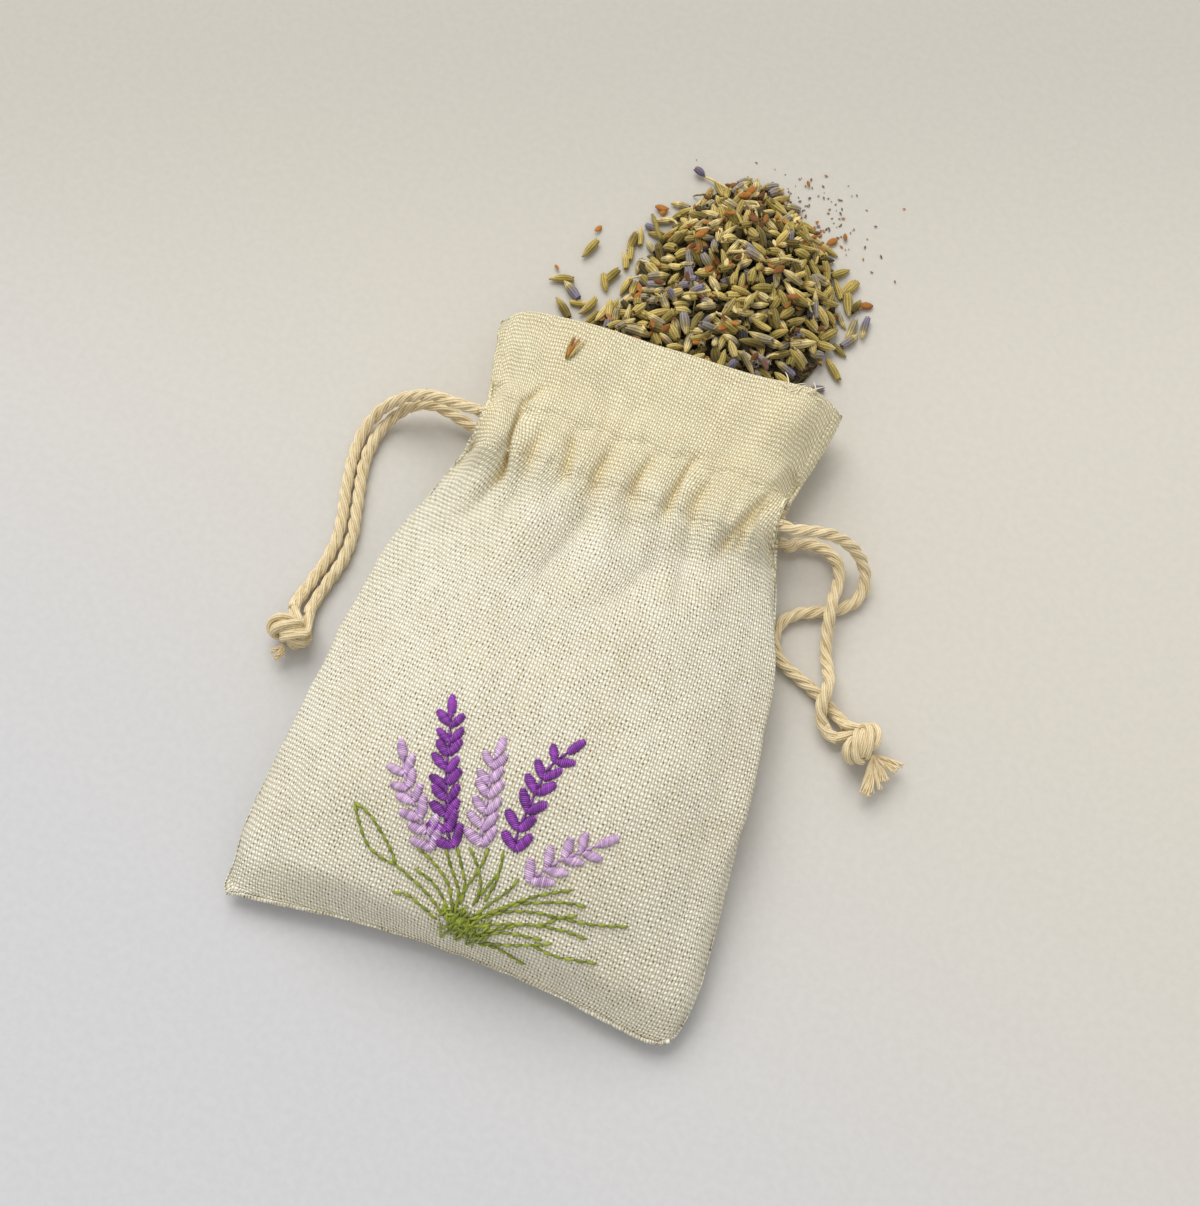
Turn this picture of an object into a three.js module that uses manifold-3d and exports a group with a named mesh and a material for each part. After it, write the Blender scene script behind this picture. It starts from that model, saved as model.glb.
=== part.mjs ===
// Lavender sachet: an embroidered drawstring pouch lying on its back, with dried lavender spilling
// from its mouth. Millimetres. +Z is up, +Y runs along the bag to its mouth and +X is to the right
// of the embroidered front.
// The origin is on the flat of the back panel, which is what the bag lies on.
import * as THREE from 'three';
import { mergeVertices } from 'three/addons/utils/BufferGeometryUtils.js';
import Module from 'manifold-3d';

const wasm = await Module();
wasm.setup();

// Bag outline: widths across the bag, and where they stand along it
const bagLength = 141;
const originFromBottom = 65;
const bottomWidth = 96;
const bellyWidth = 99;
const bellyFromBottom = 15;
const shoulderWidth = 89;
const shoulderFromBottom = 73;
const neckWidth = 69;
const mouthWidth = 79;
const bottomBow = 4;
const bowReach = 30;

// Bag heights: the inside of the front panel along the middle, and the seam along the edges
const heelHeight = 15;
const heelFromBottom = 9;
const crownHeight = 24;
const crownFromBottom = 38;
const shoulderHeight = 20.8;
const collarHeight = 15.6;
const collarFromBottom = 99;
const headerHeight = 13.4;
const headerFromMouth = 16;
const lipHeight = 14;
const bottomSeamHeight = 4;
const sideSeamHeight = 6.5;
const mouthSeamHeight = 6;
const domePower = 2.4;
const mouthDomePower = 3.6;
const domeRoundness = 0.75;
const backFlatShare = 0.66;
const backCurl = 14;

// Cloth and sewing
const clothThickness = 0.8;
const hemThickness = 1.7;
const seamGap = 0.3;
const seamInset = 3;
const seamAllowance = 5;

// Casing: a tunnel across each panel between two rows of stitching
const casingFromMouth = 29;
const casingWidth = 11.4;
const casingMargin = 0.9;
const casingBlend = 7;
const throatGap = 5;
const gatherCount = 7;
const gatherDepth = 2.8;
const gatherReach = 24;

// Drawstrings
const cordDiameter = 2.8;
const cordClearance = 0.4;
const stringSpacing = 3.5;
const stringStroke = 40;
const stringHeldInCasing = 4.5;
const bendReach = 3.2;
const faceGap = 0.3;
const knotCordDiameter = 2.4;
const knotGap = 0.65;
const yarnDiameter = 0.95;

// Lavender
const fillClearance = 0.55;
const fillFromBottom = 82;
const fillSlope = 22;
const fillShare = 0.9;
const heelFillShare = 0.3;
const heapLength = 51.8;
const heapShift = 3.2;
const heapDrift = 5.8;
const heapWidth = 49;
const heapHeight = 9.3;
const heapFromMouth = 2.2;
const heapWidest = 10;
const heapFace = 8;
const heapFaceShare = 0.8;
const heapCrest = 20;
const heapBrow = 34;
const heapTipWidth = 8;
const heapDomePower = 3;
const heapWaist = 0.9;
const heapEdge = 0.4;
const mouthFillWidth = 46;
const mouthFillHeight = 3;
const mouthFillEdge = 0.6;
const budLength = 5.4;
const budDiameter = 2;

// Embroidery
const threadGap = 0.4;
const bunchOffset = -1;
const bunchFromBottom = 9;
const bunchWidth = 56;
const bunchHeight = 41;
const leafBow = 2;
const loopWidth = 3;
const floretLength = 4.6;
const floretWidth = 2.3;
const floretThickness = 0.7;
const floretLift = 0.1;
const floretAngle = THREE.MathUtils.degToRad(38);
const stemDiameter = 0.8;

// Places that follow from the sizes above
const bottomY = -originFromBottom;
const mouthY = bottomY + bagLength;
const casingY = mouthY - casingFromMouth;
const casingLow = casingY - casingWidth / 2;
const casingHigh = casingY + casingWidth / 2;
const tunnelHeight = cordDiameter + 2 * cordClearance;
const tunnelWidth = casingWidth - 2 * casingMargin;
const casingDepth = tunnelHeight + 2 * clothThickness;
const throatTop = casingDepth + throatGap;
const backTunnelZ = casingDepth / 2;
const frontTunnelZ = throatTop + casingDepth / 2;
const neckSeamHeight = casingDepth + throatGap / 2;

const linen = { color: 0xece3c9, roughness: 0.95 };
const cotton = { color: 0xe3d3a4, roughness: 0.9 };
const purpleThread = { color: 0x7a2a9c, roughness: 0.45 };
const lilacThread = { color: 0xbb93c9, roughness: 0.45 };
const greenThread = { color: 0x7d8f2f, roughness: 0.5 };
const driedBud = { color: 0x7d7a55, roughness: 0.9 };
const driedBluish = { color: 0x6f6c86, roughness: 0.9 };
const driedBrown = { color: 0x8a5a2b, roughness: 0.9 };

const part = new THREE.Group();

function place(name, geometry, finish) {
  const mesh = new THREE.Mesh(geometry, new THREE.MeshStandardMaterial({ ...finish, metalness: 0 }));
  mesh.name = name;
  part.add(mesh);
  return mesh;
}

// Solids for cutting and joining

function solidOf(geometry) {
  const bare = geometry.clone();
  bare.deleteAttribute('normal');
  bare.deleteAttribute('uv');
  const merged = mergeVertices(bare, 1e-4);
  const vertProperties = new Float32Array(merged.attributes.position.array);
  const triVerts = new Uint32Array(merged.index.array);
  return new wasm.Manifold(new wasm.Mesh({ numProp: 3, vertProperties, triVerts }));
}

function geometryOf(solid) {
  const mesh = solid.getMesh();
  const geometry = new THREE.BufferGeometry();
  geometry.setAttribute('position', new THREE.BufferAttribute(new Float32Array(mesh.vertProperties), 3));
  geometry.setIndex(new THREE.BufferAttribute(new Uint32Array(mesh.triVerts), 1));
  geometry.computeVertexNormals();
  return geometry;
}

function joined(geometries) {
  const solids = geometries.map(solidOf);
  return geometryOf(solids.reduce((whole, next) => whole.add(next)));
}

// Curves

function through(pairs) {
  const slopes = pairs.map((pair, i) => {
    if (i === 0 || i === pairs.length - 1) return 0;
    const [before, after] = [pairs[i - 1], pairs[i + 1]];
    return (after[1] - before[1]) / (after[0] - before[0]);
  });
  return (at) => {
    const clamped = THREE.MathUtils.clamp(at, pairs[0][0], pairs.at(-1)[0]);
    const i = Math.min(pairs.findLastIndex((pair) => pair[0] <= clamped), pairs.length - 2);
    const span = pairs[i + 1][0] - pairs[i][0];
    const t = (clamped - pairs[i][0]) / span;
    const t2 = t * t;
    const t3 = t2 * t;
    return (2 * t3 - 3 * t2 + 1) * pairs[i][1] + (t3 - 2 * t2 + t) * span * slopes[i]
      + (3 * t2 - 2 * t3) * pairs[i + 1][1] + (t3 - t2) * span * slopes[i + 1];
  };
}

function spread(from, to, count) {
  return Array.from({ length: count }, (_, i) => from + ((to - from) * i) / count);
}

function tubeAlong(points, diameter, steps, sides) {
  const ring = Array.from({ length: sides }, (_, i) => {
    const angle = (2 * Math.PI * (i + 0.5)) / sides;
    return new THREE.Vector2(Math.cos(angle), Math.sin(angle)).multiplyScalar(diameter / 2);
  });
  const extrudePath = new THREE.CatmullRomCurve3(points);
  return new THREE.ExtrudeGeometry(new THREE.Shape(ring), { extrudePath, steps, curveSegments: 1 });
}

// A closed sheet between two surfaces given over across (-1 to 1) and a list of places along the bag

function sheetBetween(columns, alongs, lower, upper) {
  const positions = [];
  const index = [];
  const wide = columns + 1;
  const layer = wide * alongs.length;
  for (const surface of [lower, upper]) {
    for (const along of alongs) {
      for (let i = 0; i <= columns; i += 1) {
        positions.push(...surface((2 * i) / columns - 1, along).toArray());
      }
    }
  }
  const quad = (a, b, c, d) => index.push(a, b, c, a, c, d);
  for (let j = 0; j < alongs.length - 1; j += 1) {
    for (let i = 0; i < columns; i += 1) {
      const a = j * wide + i;
      quad(a, a + wide, a + wide + 1, a + 1);
      quad(layer + a, layer + a + 1, layer + a + wide + 1, layer + a + wide);
    }
    const left = j * wide;
    const right = left + columns;
    quad(left, layer + left, layer + left + wide, left + wide);
    quad(right, right + wide, layer + right + wide, layer + right);
  }
  for (let i = 0; i < columns; i += 1) {
    const last = (alongs.length - 1) * wide + i;
    quad(i, i + 1, layer + i + 1, layer + i);
    quad(last, layer + last, layer + last + 1, last + 1);
  }
  const geometry = new THREE.BufferGeometry();
  geometry.setAttribute('position', new THREE.Float32BufferAttribute(positions, 3));
  geometry.setIndex(index);
  geometry.computeVertexNormals();
  return geometry;
}

// The bag's surfaces

const halfWidth = through([
  [bottomY, bottomWidth / 2],
  [bottomY + bellyFromBottom, bellyWidth / 2],
  [bottomY + shoulderFromBottom, shoulderWidth / 2],
  [casingY, neckWidth / 2],
  [mouthY, mouthWidth / 2],
]);

const seamHeight = through([
  [bottomY, bottomSeamHeight],
  [bottomY + bellyFromBottom, sideSeamHeight],
  [casingY, neckSeamHeight],
  [mouthY, mouthSeamHeight],
]);

const crown = through([
  [bottomY, bottomSeamHeight],
  [bottomY + heelFromBottom, heelHeight],
  [bottomY + crownFromBottom, crownHeight],
  [bottomY + shoulderFromBottom, shoulderHeight],
  [bottomY + collarFromBottom, collarHeight],
  [mouthY - headerFromMouth, headerHeight],
  [mouthY, lipHeight],
]);

function casing(y) {
  const past = Math.abs(y - casingY) - casingWidth / 2;
  return 1 - THREE.MathUtils.smoothstep(past, 0, casingBlend);
}

function thickness(y) {
  const cloth = y < casingY ? clothThickness : hemThickness;
  return THREE.MathUtils.lerp(cloth, casingDepth, casing(y));
}

function gathers(across, y) {
  const past = Math.max(Math.abs(y - casingY) - casingWidth / 2, 0);
  const fade = 1 - THREE.MathUtils.smoothstep(past, 0, gatherReach);
  const wave = 0.5 - 0.5 * Math.cos(Math.PI * gatherCount * (across + 1));
  return gatherDepth * fade * wave;
}

function bowed(across, y, z) {
  const fade = 1 - THREE.MathUtils.smoothstep(y - bottomY, 0, bowReach);
  return new THREE.Vector3(across * halfWidth(y), y + bottomBow * (1 - across * across) * fade, z);
}

function frontInside(across, y) {
  const edge = seamHeight(y) + seamGap / 2;
  const squarer = THREE.MathUtils.smoothstep(y, bottomY + collarFromBottom, mouthY);
  const power = THREE.MathUtils.lerp(domePower, mouthDomePower, squarer);
  const dome = (1 - Math.abs(across) ** power) ** domeRoundness;
  return THREE.MathUtils.lerp(edge + (Math.max(crown(y), edge) - edge) * dome, throatTop, casing(y));
}

function frontOutside(across, y) {
  return frontInside(across, y) + thickness(y) + gathers(across, y);
}

function backInside(across, y) {
  const cloth = y < casingY ? clothThickness : hemThickness;
  const side = Math.max(Math.abs(across) - backFlatShare, 0) / (1 - backFlatShare);
  const heel = Math.max(1 - (y - bottomY) / backCurl, 0);
  const lift = 1 - (1 - side * side) * (1 - heel * heel);
  const rise = seamHeight(y) - seamGap / 2 - cloth;
  return THREE.MathUtils.lerp(cloth + rise * lift, casingDepth, casing(y));
}

function backOutside(across, y) {
  return backInside(across, y) - thickness(y);
}

// Front and back panels, each with its casing tunnel

const panelRows = [
  ...spread(bottomY, bottomY + backCurl, 4),
  ...spread(bottomY + backCurl, casingLow - gatherReach, 5),
  ...spread(casingLow - gatherReach, casingLow - casingBlend, 2),
  ...spread(casingLow - casingBlend, casingLow, 2),
  casingLow,
  casingHigh,
  casingHigh + casingBlend / 2,
  ...spread(casingHigh + casingBlend, mouthY, 3),
  mouthY,
];

function casingTunnel(z) {
  const slot = new THREE.Shape();
  const [w, h] = [tunnelWidth / 2, tunnelHeight / 2];
  slot.moveTo(-w + h, -h).lineTo(w - h, -h).absarc(w - h, 0, h, -Math.PI / 2, Math.PI / 2);
  slot.lineTo(-w + h, h).absarc(-w + h, 0, h, Math.PI / 2, (3 * Math.PI) / 2);
  const depth = bellyWidth;
  const tunnel = new THREE.ExtrudeGeometry(slot, { depth, bevelEnabled: false, curveSegments: 4 });
  tunnel.translate(0, 0, -depth / 2);
  tunnel.rotateX(Math.PI / 2).rotateZ(Math.PI / 2);
  return tunnel.translate(0, casingY, z);
}

function panel(columns, lower, upper, tunnelZ) {
  const cloth = sheetBetween(
    columns,
    panelRows,
    (across, y) => bowed(across, y, lower(across, y)),
    (across, y) => bowed(across, y, upper(across, y)),
  );
  return geometryOf(solidOf(cloth).subtract(solidOf(casingTunnel(tunnelZ))));
}

const frontColumns = gatherCount * 4;
const backColumns = 12;

place('front_panel', panel(frontColumns, frontInside, frontOutside, frontTunnelZ), linen);
place('back_panel', panel(backColumns, backOutside, backInside, backTunnelZ), linen);

// Seam allowances turned inside: two layers of cloth along each sewn edge

const allowanceThickness = 2 * clothThickness;

function sideSeam(side) {
  const rows = spread(bottomY + backCurl, casingLow - casingBlend, 7);
  const strip = (lift) => (across, y) => {
    const inFromEdge = seamInset + (seamAllowance * (1 - across)) / 2;
    return new THREE.Vector3(side * (halfWidth(y) - inFromEdge), y, seamHeight(y) + lift);
  };
  const [low, high] = [strip(-allowanceThickness / 2), strip(allowanceThickness / 2)];
  return side > 0 ? sheetBetween(1, rows, low, high) : sheetBetween(1, rows, high, low);
}

function bottomSeam() {
  const reach = bottomWidth / 2 - seamInset - seamAllowance - backCurl / 2;
  const strip = (lift) => (across, y) => bowed((across * reach) / halfWidth(y), y, bottomSeamHeight + lift);
  const rows = [bottomY + seamInset, bottomY + seamInset + seamAllowance];
  return sheetBetween(10, rows, strip(-allowanceThickness / 2), strip(allowanceThickness / 2));
}

place('left_side_seam', sideSeam(-1), linen);
place('right_side_seam', sideSeam(1), linen);
place('bottom_seam', bottomSeam(), linen);

// Lavender inside the body of the bag, sloping down towards the neck

function filling() {
  const start = bottomY + seamInset + seamAllowance + fillClearance;
  const end = bottomY + fillFromBottom;
  const inset = seamInset + seamAllowance + fillClearance;
  const at = (across, y) => across * (1 - inset / halfWidth(y));
  const under = (across, y) => {
    const u = at(across, y);
    return bowed(u, y, backInside(u, y) + fillClearance);
  };
  const over = (across, y) => {
    const base = under(across, y);
    const room = frontInside(at(across, y), y) - fillClearance - base.z;
    const slope = 1 - THREE.MathUtils.smoothstep(y, end - fillSlope, end + fillSlope / 4);
    const heel = THREE.MathUtils.smoothstep(y, start - backCurl / 2, start + backCurl);
    return base.setZ(base.z + room * Math.min(slope, THREE.MathUtils.lerp(heelFillShare, fillShare, heel)));
  };
  return sheetBetween(10, [...spread(start, end, 8), end], under, over);
}

place('lavender_filling', filling(), driedBud);

// Drawstrings: each leaves the casing on its own side with two strands and turns back at the far side

const neckHalf = neckWidth / 2;
const runInnerEnd = -neckHalf + stringStroke + stringHeldInCasing;
const runOuterEnd = neckHalf + cordClearance;

function casingRun(side, y, z) {
  const length = runOuterEnd + runInnerEnd;
  const run = new THREE.CylinderGeometry(cordDiameter / 2, cordDiameter / 2, length, 8);
  return run.rotateZ(Math.PI / 2).translate((side * (runOuterEnd - runInnerEnd)) / 2, y, z);
}

function returnBend(side, y) {
  const middle = (frontTunnelZ + backTunnelZ) / 2;
  const rise = (frontTunnelZ - backTunnelZ) / 2;
  const inner = runInnerEnd + faceGap;
  const turn = spread(Math.PI / 2, -Math.PI / 2, 6).concat(-Math.PI / 2).map((angle) => {
    const x = neckHalf + cordDiameter / 2 + bendReach * Math.cos(angle);
    return new THREE.Vector3(-side * x, y, middle + rise * Math.sin(angle));
  });
  const leg = (x, z) => new THREE.Vector3(-side * x, y, z);
  const points = [
    leg(inner, frontTunnelZ),
    leg((inner + neckHalf) / 2, frontTunnelZ),
    leg(neckHalf, frontTunnelZ),
    ...turn,
    leg(neckHalf, backTunnelZ),
    leg((inner + neckHalf) / 2, backTunnelZ),
    leg(inner, backTunnelZ),
  ];
  return tubeAlong(points, cordDiameter, 17, 8);
}

function tail(side, y, z, route) {
  const exit = runOuterEnd + faceGap;
  const start = [exit, exit + cordDiameter].map((x) => new THREE.Vector3(side * x, y, z));
  const points = route.map(([x, along, height]) => new THREE.Vector3(x, along, height));
  return tubeAlong([...start, ...points], cordDiameter, 17, 8);
}

const leftFrontRoute = [
  [-42, 48.9, 12.6], [-47, 49.3, 11], [-52, 48.6, 8.4], [-56.5, 46.4, 5.4], [-59.4, 42.8, 3],
  [-60.6, 38, 1.8], [-60.4, 33, 1.5], [-59.4, 27.5, 1.5], [-57.9, 21.5, 1.5], [-56.6, 15.5, 1.5],
  [-56.6, 9.5, 1.5], [-57.7, 4, 1.5], [-58.7, -0.8, 2], [-58.9, -4.5, 3.1],
];
const leftBackRoute = [
  [-42, 48.7, 3.2], [-47, 48.2, 4.6], [-51.4, 46.8, 4.2], [-54.6, 44, 2.8], [-56.8, 40.4, 1.7],
  [-57.2, 35.8, 1.5], [-56.7, 31, 1.5], [-55.6, 26, 1.5], [-54.3, 20.5, 1.5], [-53.2, 15.2, 1.5],
  [-53.2, 9.6, 1.5], [-54.2, 4, 1.5], [-55.2, -0.8, 1.5], [-55.5, -4.4, 1.7],
];
const rightFrontRoute = [
  [43, 46.6, 12.4], [47.5, 47.6, 10.4], [51.8, 47.2, 7.2], [55, 44.9, 4.2], [56.2, 41.4, 2.2],
  [55.1, 37.8, 1.5], [52, 35, 1.5], [48, 33, 1.5], [44, 31, 1.5], [41.4, 27.6, 1.5],
  [41.6, 23.2, 1.5], [44.4, 19.8, 1.5], [48.6, 17.8, 1.5], [53, 15.9, 1.5], [57, 13.6, 1.5],
  [59.6, 11.9, 1.8], [61.6, 10.6, 2.3],
];
const rightBackRoute = [
  [42.5, 46.4, 2.3], [46.2, 45.4, 2], [48.8, 42.6, 2.4], [49.8, 39, 3.8], [50.3, 35.4, 5],
  [50.9, 31.8, 4.6], [51.8, 28, 3], [53, 24, 2.2], [54.4, 20.4, 3.4], [55.3, 17, 4.9],
  [55.2, 13.6, 4.8], [55.4, 10.4, 3.4], [57, 8, 2.4], [60.7, 7.2, 2.3],
];

// Overhand knot drawn tight: one unbroken tube on a trefoil path, cut open where the strands come in

const knotRadius = knotCordDiameter / 2;
const knotWave = knotRadius + knotGap / 2;
const knotRing = knotWave + (knotCordDiameter + knotGap) / Math.sqrt(3);
const knotOpening = 0.2;
const knotSteps = 48;

function knot(centre, turn) {
  const last = 2 * Math.PI - knotOpening;
  const points = [...spread(knotOpening, last, knotSteps), last].map((t) => {
    const ring = knotRing + knotWave * Math.cos(3 * t);
    return new THREE.Vector3(
      centre.x + ring * Math.cos(2 * t + turn),
      centre.y + ring * Math.sin(2 * t + turn),
      centre.z + knotWave * Math.sin(3 * t),
    );
  });
  const apart = points.flatMap((p, i) => points.slice(i + 5).map((q) => p.distanceTo(q) - knotCordDiameter));
  console.log(`knot: least gap to itself ${Math.min(...apart).toFixed(2)} mm`);
  return tubeAlong(points, knotCordDiameter, 38, 6);
}

function yarnEnds(knotCentre, knotTurn, ends) {
  const facing = knotTurn + Math.PI;
  const out = new THREE.Vector3(Math.cos(facing), Math.sin(facing), 0);
  const apart = knotRadius + yarnDiameter + faceGap;
  const root = knotCentre.clone().addScaledVector(out, knotRing + Math.sqrt(apart ** 2 - knotWave ** 2));
  const bundle = new THREE.SphereGeometry(yarnDiameter, 6, 4).translate(...root.toArray());
  const strands = ends.map(([angle, length]) => {
    const yarn = new THREE.CylinderGeometry(yarnDiameter / 3, yarnDiameter / 2, length, 5);
    yarn.translate(0, length / 2, 0).rotateZ(angle - Math.PI / 2);
    return yarn.translate(...root.toArray());
  });
  return joined([bundle, ...strands]);
}

const knotHeight = knotWave + knotRadius;
const radians = THREE.MathUtils.degToRad;

function drawstring(name, side, routes, knotAt, knotTurn, ends) {
  const y = casingY - (side * stringSpacing) / 2;
  place(`${name}_front_run`, casingRun(side, y, frontTunnelZ), cotton);
  place(`${name}_back_run`, casingRun(side, y, backTunnelZ), cotton);
  place(`${name}_return_bend`, returnBend(side, y), cotton);
  place(`${name}_front_tail`, tail(side, y, frontTunnelZ, routes[0]), cotton);
  place(`${name}_back_tail`, tail(side, y, backTunnelZ, routes[1]), cotton);
  const centre = new THREE.Vector3(...knotAt, knotHeight);
  place(`${name}_knot`, knot(centre, knotTurn), cotton);
  place(`${name}_yarn_ends`, yarnEnds(centre, knotTurn, ends), cotton);
}

const leftEnds = [[-110, 3], [-88, 3.6], [-66, 3]].map(([angle, length]) => [radians(angle), length]);
const rightEnds = [[-118, 6], [-98, 6.6], [-76, 6], [-52, 5.6], [-28, 5.8], [-4, 6.4]]
  .map(([angle, length]) => [radians(angle), length]);
const leftKnotAt = [-57.2, -10];
const rightKnotAt = [66, 7.2];

drawstring('left_string', -1, [leftFrontRoute, leftBackRoute], leftKnotAt, radians(90), leftEnds);
drawstring('right_string', 1, [rightFrontRoute, rightBackRoute], rightKnotAt, radians(118), rightEnds);

// Embroidery: each sprig is a stem with pairs of satin-stitched florets, lying on the front panel

function frontPoint(x, y) {
  let along = y;
  for (let i = 0; i < 6; i += 1) along += y - bowed(x / halfWidth(along), along, 0).y;
  return new THREE.Vector3(x, y, frontOutside(x / halfWidth(along), along));
}

function onFront(x, y, lift) {
  const across = frontPoint(x + 1, y).sub(frontPoint(x - 1, y));
  const along = frontPoint(x, y + 1).sub(frontPoint(x, y - 1));
  return frontPoint(x, y).addScaledVector(across.cross(along).normalize(), lift);
}

function stitchedLine(points, steps) {
  const lift = threadGap + stemDiameter / 2;
  const line = new THREE.SplineCurve(points.map(([x, y]) => new THREE.Vector2(x, y)));
  const laid = line.getSpacedPoints(2 * steps).map(({ x, y }) => onFront(x, y, lift));
  return tubeAlong(laid, stemDiameter, steps, 4);
}

function floret(x, y, angle) {
  const reach = floretLength / 2 - stemDiameter / 2;
  const [dx, dy] = [Math.cos(angle), Math.sin(angle)];
  const at = (along, across) => frontPoint(x + dx * along - dy * across, y + dy * along + dx * across);
  const lengthways = at(reach + 1, 0).sub(at(reach - 1, 0)).normalize();
  const sideways = at(reach, 1).sub(at(reach, -1)).normalize();
  const normal = lengthways.clone().cross(sideways).normalize();
  const turned = new THREE.Matrix4().makeBasis(lengthways, normal.clone().cross(lengthways), normal);
  const centre = at(reach, 0).addScaledVector(normal, threadGap + floretLift + floretThickness / 2);
  const pad = new THREE.SphereGeometry(0.5, 6, 3).rotateX(Math.PI / 2);
  pad.scale(floretLength, floretWidth, floretThickness);
  return pad.applyMatrix4(turned.setPosition(centre));
}

function sprig([baseX, baseY], [tipX, tipY], pairs) {
  const heading = Math.atan2(tipY - baseY, tipX - baseX);
  const along = (t) => [baseX + (tipX - baseX) * t, baseY + (tipY - baseY) * t];
  const pieces = [stitchedLine([0, 0.5, 1].map(along), 3), floret(...along(1), heading)];
  for (let i = 0; i < pairs; i += 1) {
    const at = along((i + 0.2) / pairs);
    pieces.push(floret(...at, heading + floretAngle), floret(...at, heading - floretAngle));
  }
  return joined(pieces);
}

// Places in the bunch: shares of its half width to the side, and of its height above the tuft
function inBunch([aside, above]) {
  return [bunchOffset + (aside * bunchWidth) / 2, bottomY + bunchFromBottom + above * bunchHeight];
}

const sprigs = [
  { name: 'left_lilac_sprig', base: [-0.29, 0.27], tip: [-0.71, 0.66], pairs: 5, thread: lilacThread },
  { name: 'left_purple_sprig', base: [-0.16, 0.33], tip: [-0.5, 0.93], pairs: 7, thread: purpleThread },
  { name: 'middle_lilac_sprig', base: [0.07, 0.37], tip: [-0.04, 0.76], pairs: 5, thread: lilacThread },
  { name: 'right_purple_sprig', base: [0.32, 0.4], tip: [0.5, 0.9], pairs: 5, thread: purpleThread },
  { name: 'right_lilac_sprig', base: [0.5, 0.32], tip: [0.82, 0.54], pairs: 3, thread: lilacThread },
];
for (const { name, base, tip, pairs, thread } of sprigs) {
  place(name, sprig(inBunch(base), inBunch(tip), pairs), thread);
}

const tuftAt = inBunch([0, 0]);

function stemTo([x, y]) {
  const [dx, dy] = [x - tuftAt[0], y - tuftAt[1]];
  const short = 1 - (stemDiameter + threadGap) / Math.hypot(dx, dy);
  return stitchedLine([tuftAt, [tuftAt[0] + dx * short, tuftAt[1] + dy * short]], 3);
}

function leafTo([x, y], bend) {
  const middle = [(tuftAt[0] + x) / 2 + bend, (tuftAt[1] + y) / 2 + Math.abs(bend)];
  return stitchedLine([tuftAt, middle, [x, y]], 4);
}

function loopLeaf([jointX, jointY], [tipX, tipY], width) {
  const [middleX, middleY] = [(jointX + tipX) / 2, (jointY + tipY) / 2];
  const sides = [width, -width].map((bow) => {
    return stitchedLine([[jointX, jointY], [middleX + bow / 2, middleY + bow / 2], [tipX, tipY]], 3);
  });
  const lap = stemDiameter / Math.hypot(tipX - jointX, tipY - jointY);
  const stemEnd = [jointX + (tipX - jointX) * lap, jointY + (tipY - jointY) * lap];
  return [leafTo(stemEnd, -leafBow / 2), ...sides];
}

const leafTips = [
  [[1.11, 0.24], 1], [[1, 0.07], 0.5], [[0.82, 0.23], 1],
  [[0.57, -0.04], 0.25], [[0.71, 0.15], 0.75], [[-0.46, 0.05], -0.5],
];
const leaves = [
  floret(...tuftAt, radians(60)),
  floret(...tuftAt, radians(100)),
  ...sprigs.map(({ base }) => stemTo(inBunch(base))),
  ...leafTips.map(([tip, bend]) => leafTo(inBunch(tip), bend * leafBow)),
  ...loopLeaf(inBunch([-0.5, 0.15]), inBunch([-0.89, 0.35]), loopWidth),
];
place('green_stems_and_leaves', joined(leaves), greenThread);

// Dried lavender buds: a plain calyx, widest past the middle

function bud(length, diameter, sides) {
  const profile = [[0, 0], [0.72, 0.18], [1, 0.6], [0.72, 0.88], [0, 1]]
    .map(([wide, along]) => new THREE.Vector2((wide * diameter) / 2, (along - 0.5) * length));
  return new THREE.LatheGeometry(profile, sides);
}

// Lavender in the mouth, resting on the back panel's header

function mouthLavender() {
  const start = casingHigh + casingBlend + fillClearance;
  const end = mouthY + heapFromMouth - faceGap;
  const at = (across, y) => {
    const x = heapShift + (across * mouthFillWidth) / 2;
    const u = THREE.MathUtils.clamp(x / halfWidth(y), -1, 1);
    return new THREE.Vector3(x, y, backInside(u, Math.min(y, mouthY)) + fillClearance);
  };
  const over = (across, y) => {
    const base = at(across, y);
    const rise = THREE.MathUtils.smoothstep(y, start - casingBlend, end);
    return base.setZ(base.z + mouthFillEdge + mouthFillHeight * rise * (1 - across ** 2));
  };
  return sheetBetween(8, [...spread(start, end, 3), end], at, over);
}

place('mouth_lavender', mouthLavender(), driedBud);

// The spilled heap: a mound with buds lying in its surface

const heapStart = mouthY + heapFromMouth;

function heapHalf(out) {
  const past = Math.max(out - heapWidest, 0) / (heapLength - heapWidest);
  const before = Math.max(heapWidest - out, 0) / heapWidest;
  const tip = heapTipWidth / heapWidth;
  const waist = 1 - (1 - heapWaist) * before;
  return (heapWidth / 2) * waist * (tip + (1 - tip) * Math.sqrt(1 - past ** 2));
}

function heapMiddle(out) {
  return heapShift + heapDrift * Math.sin((Math.PI * out) / heapLength);
}

const heapTop = through([
  [0, heapHeight * heapFaceShare],
  [heapFace, heapHeight],
  [heapCrest, heapHeight],
  [heapBrow, heapHeight],
  [heapLength, budDiameter / 2],
]);

function heapSurface(across, out) {
  const rise = heapTop(out) * (1 - Math.abs(across) ** heapDomePower) ** domeRoundness + heapEdge;
  return new THREE.Vector3(heapMiddle(out) + across * heapHalf(out), heapStart + out, rise);
}

const heapRows = 8;
const heapColumns = 5;

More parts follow.
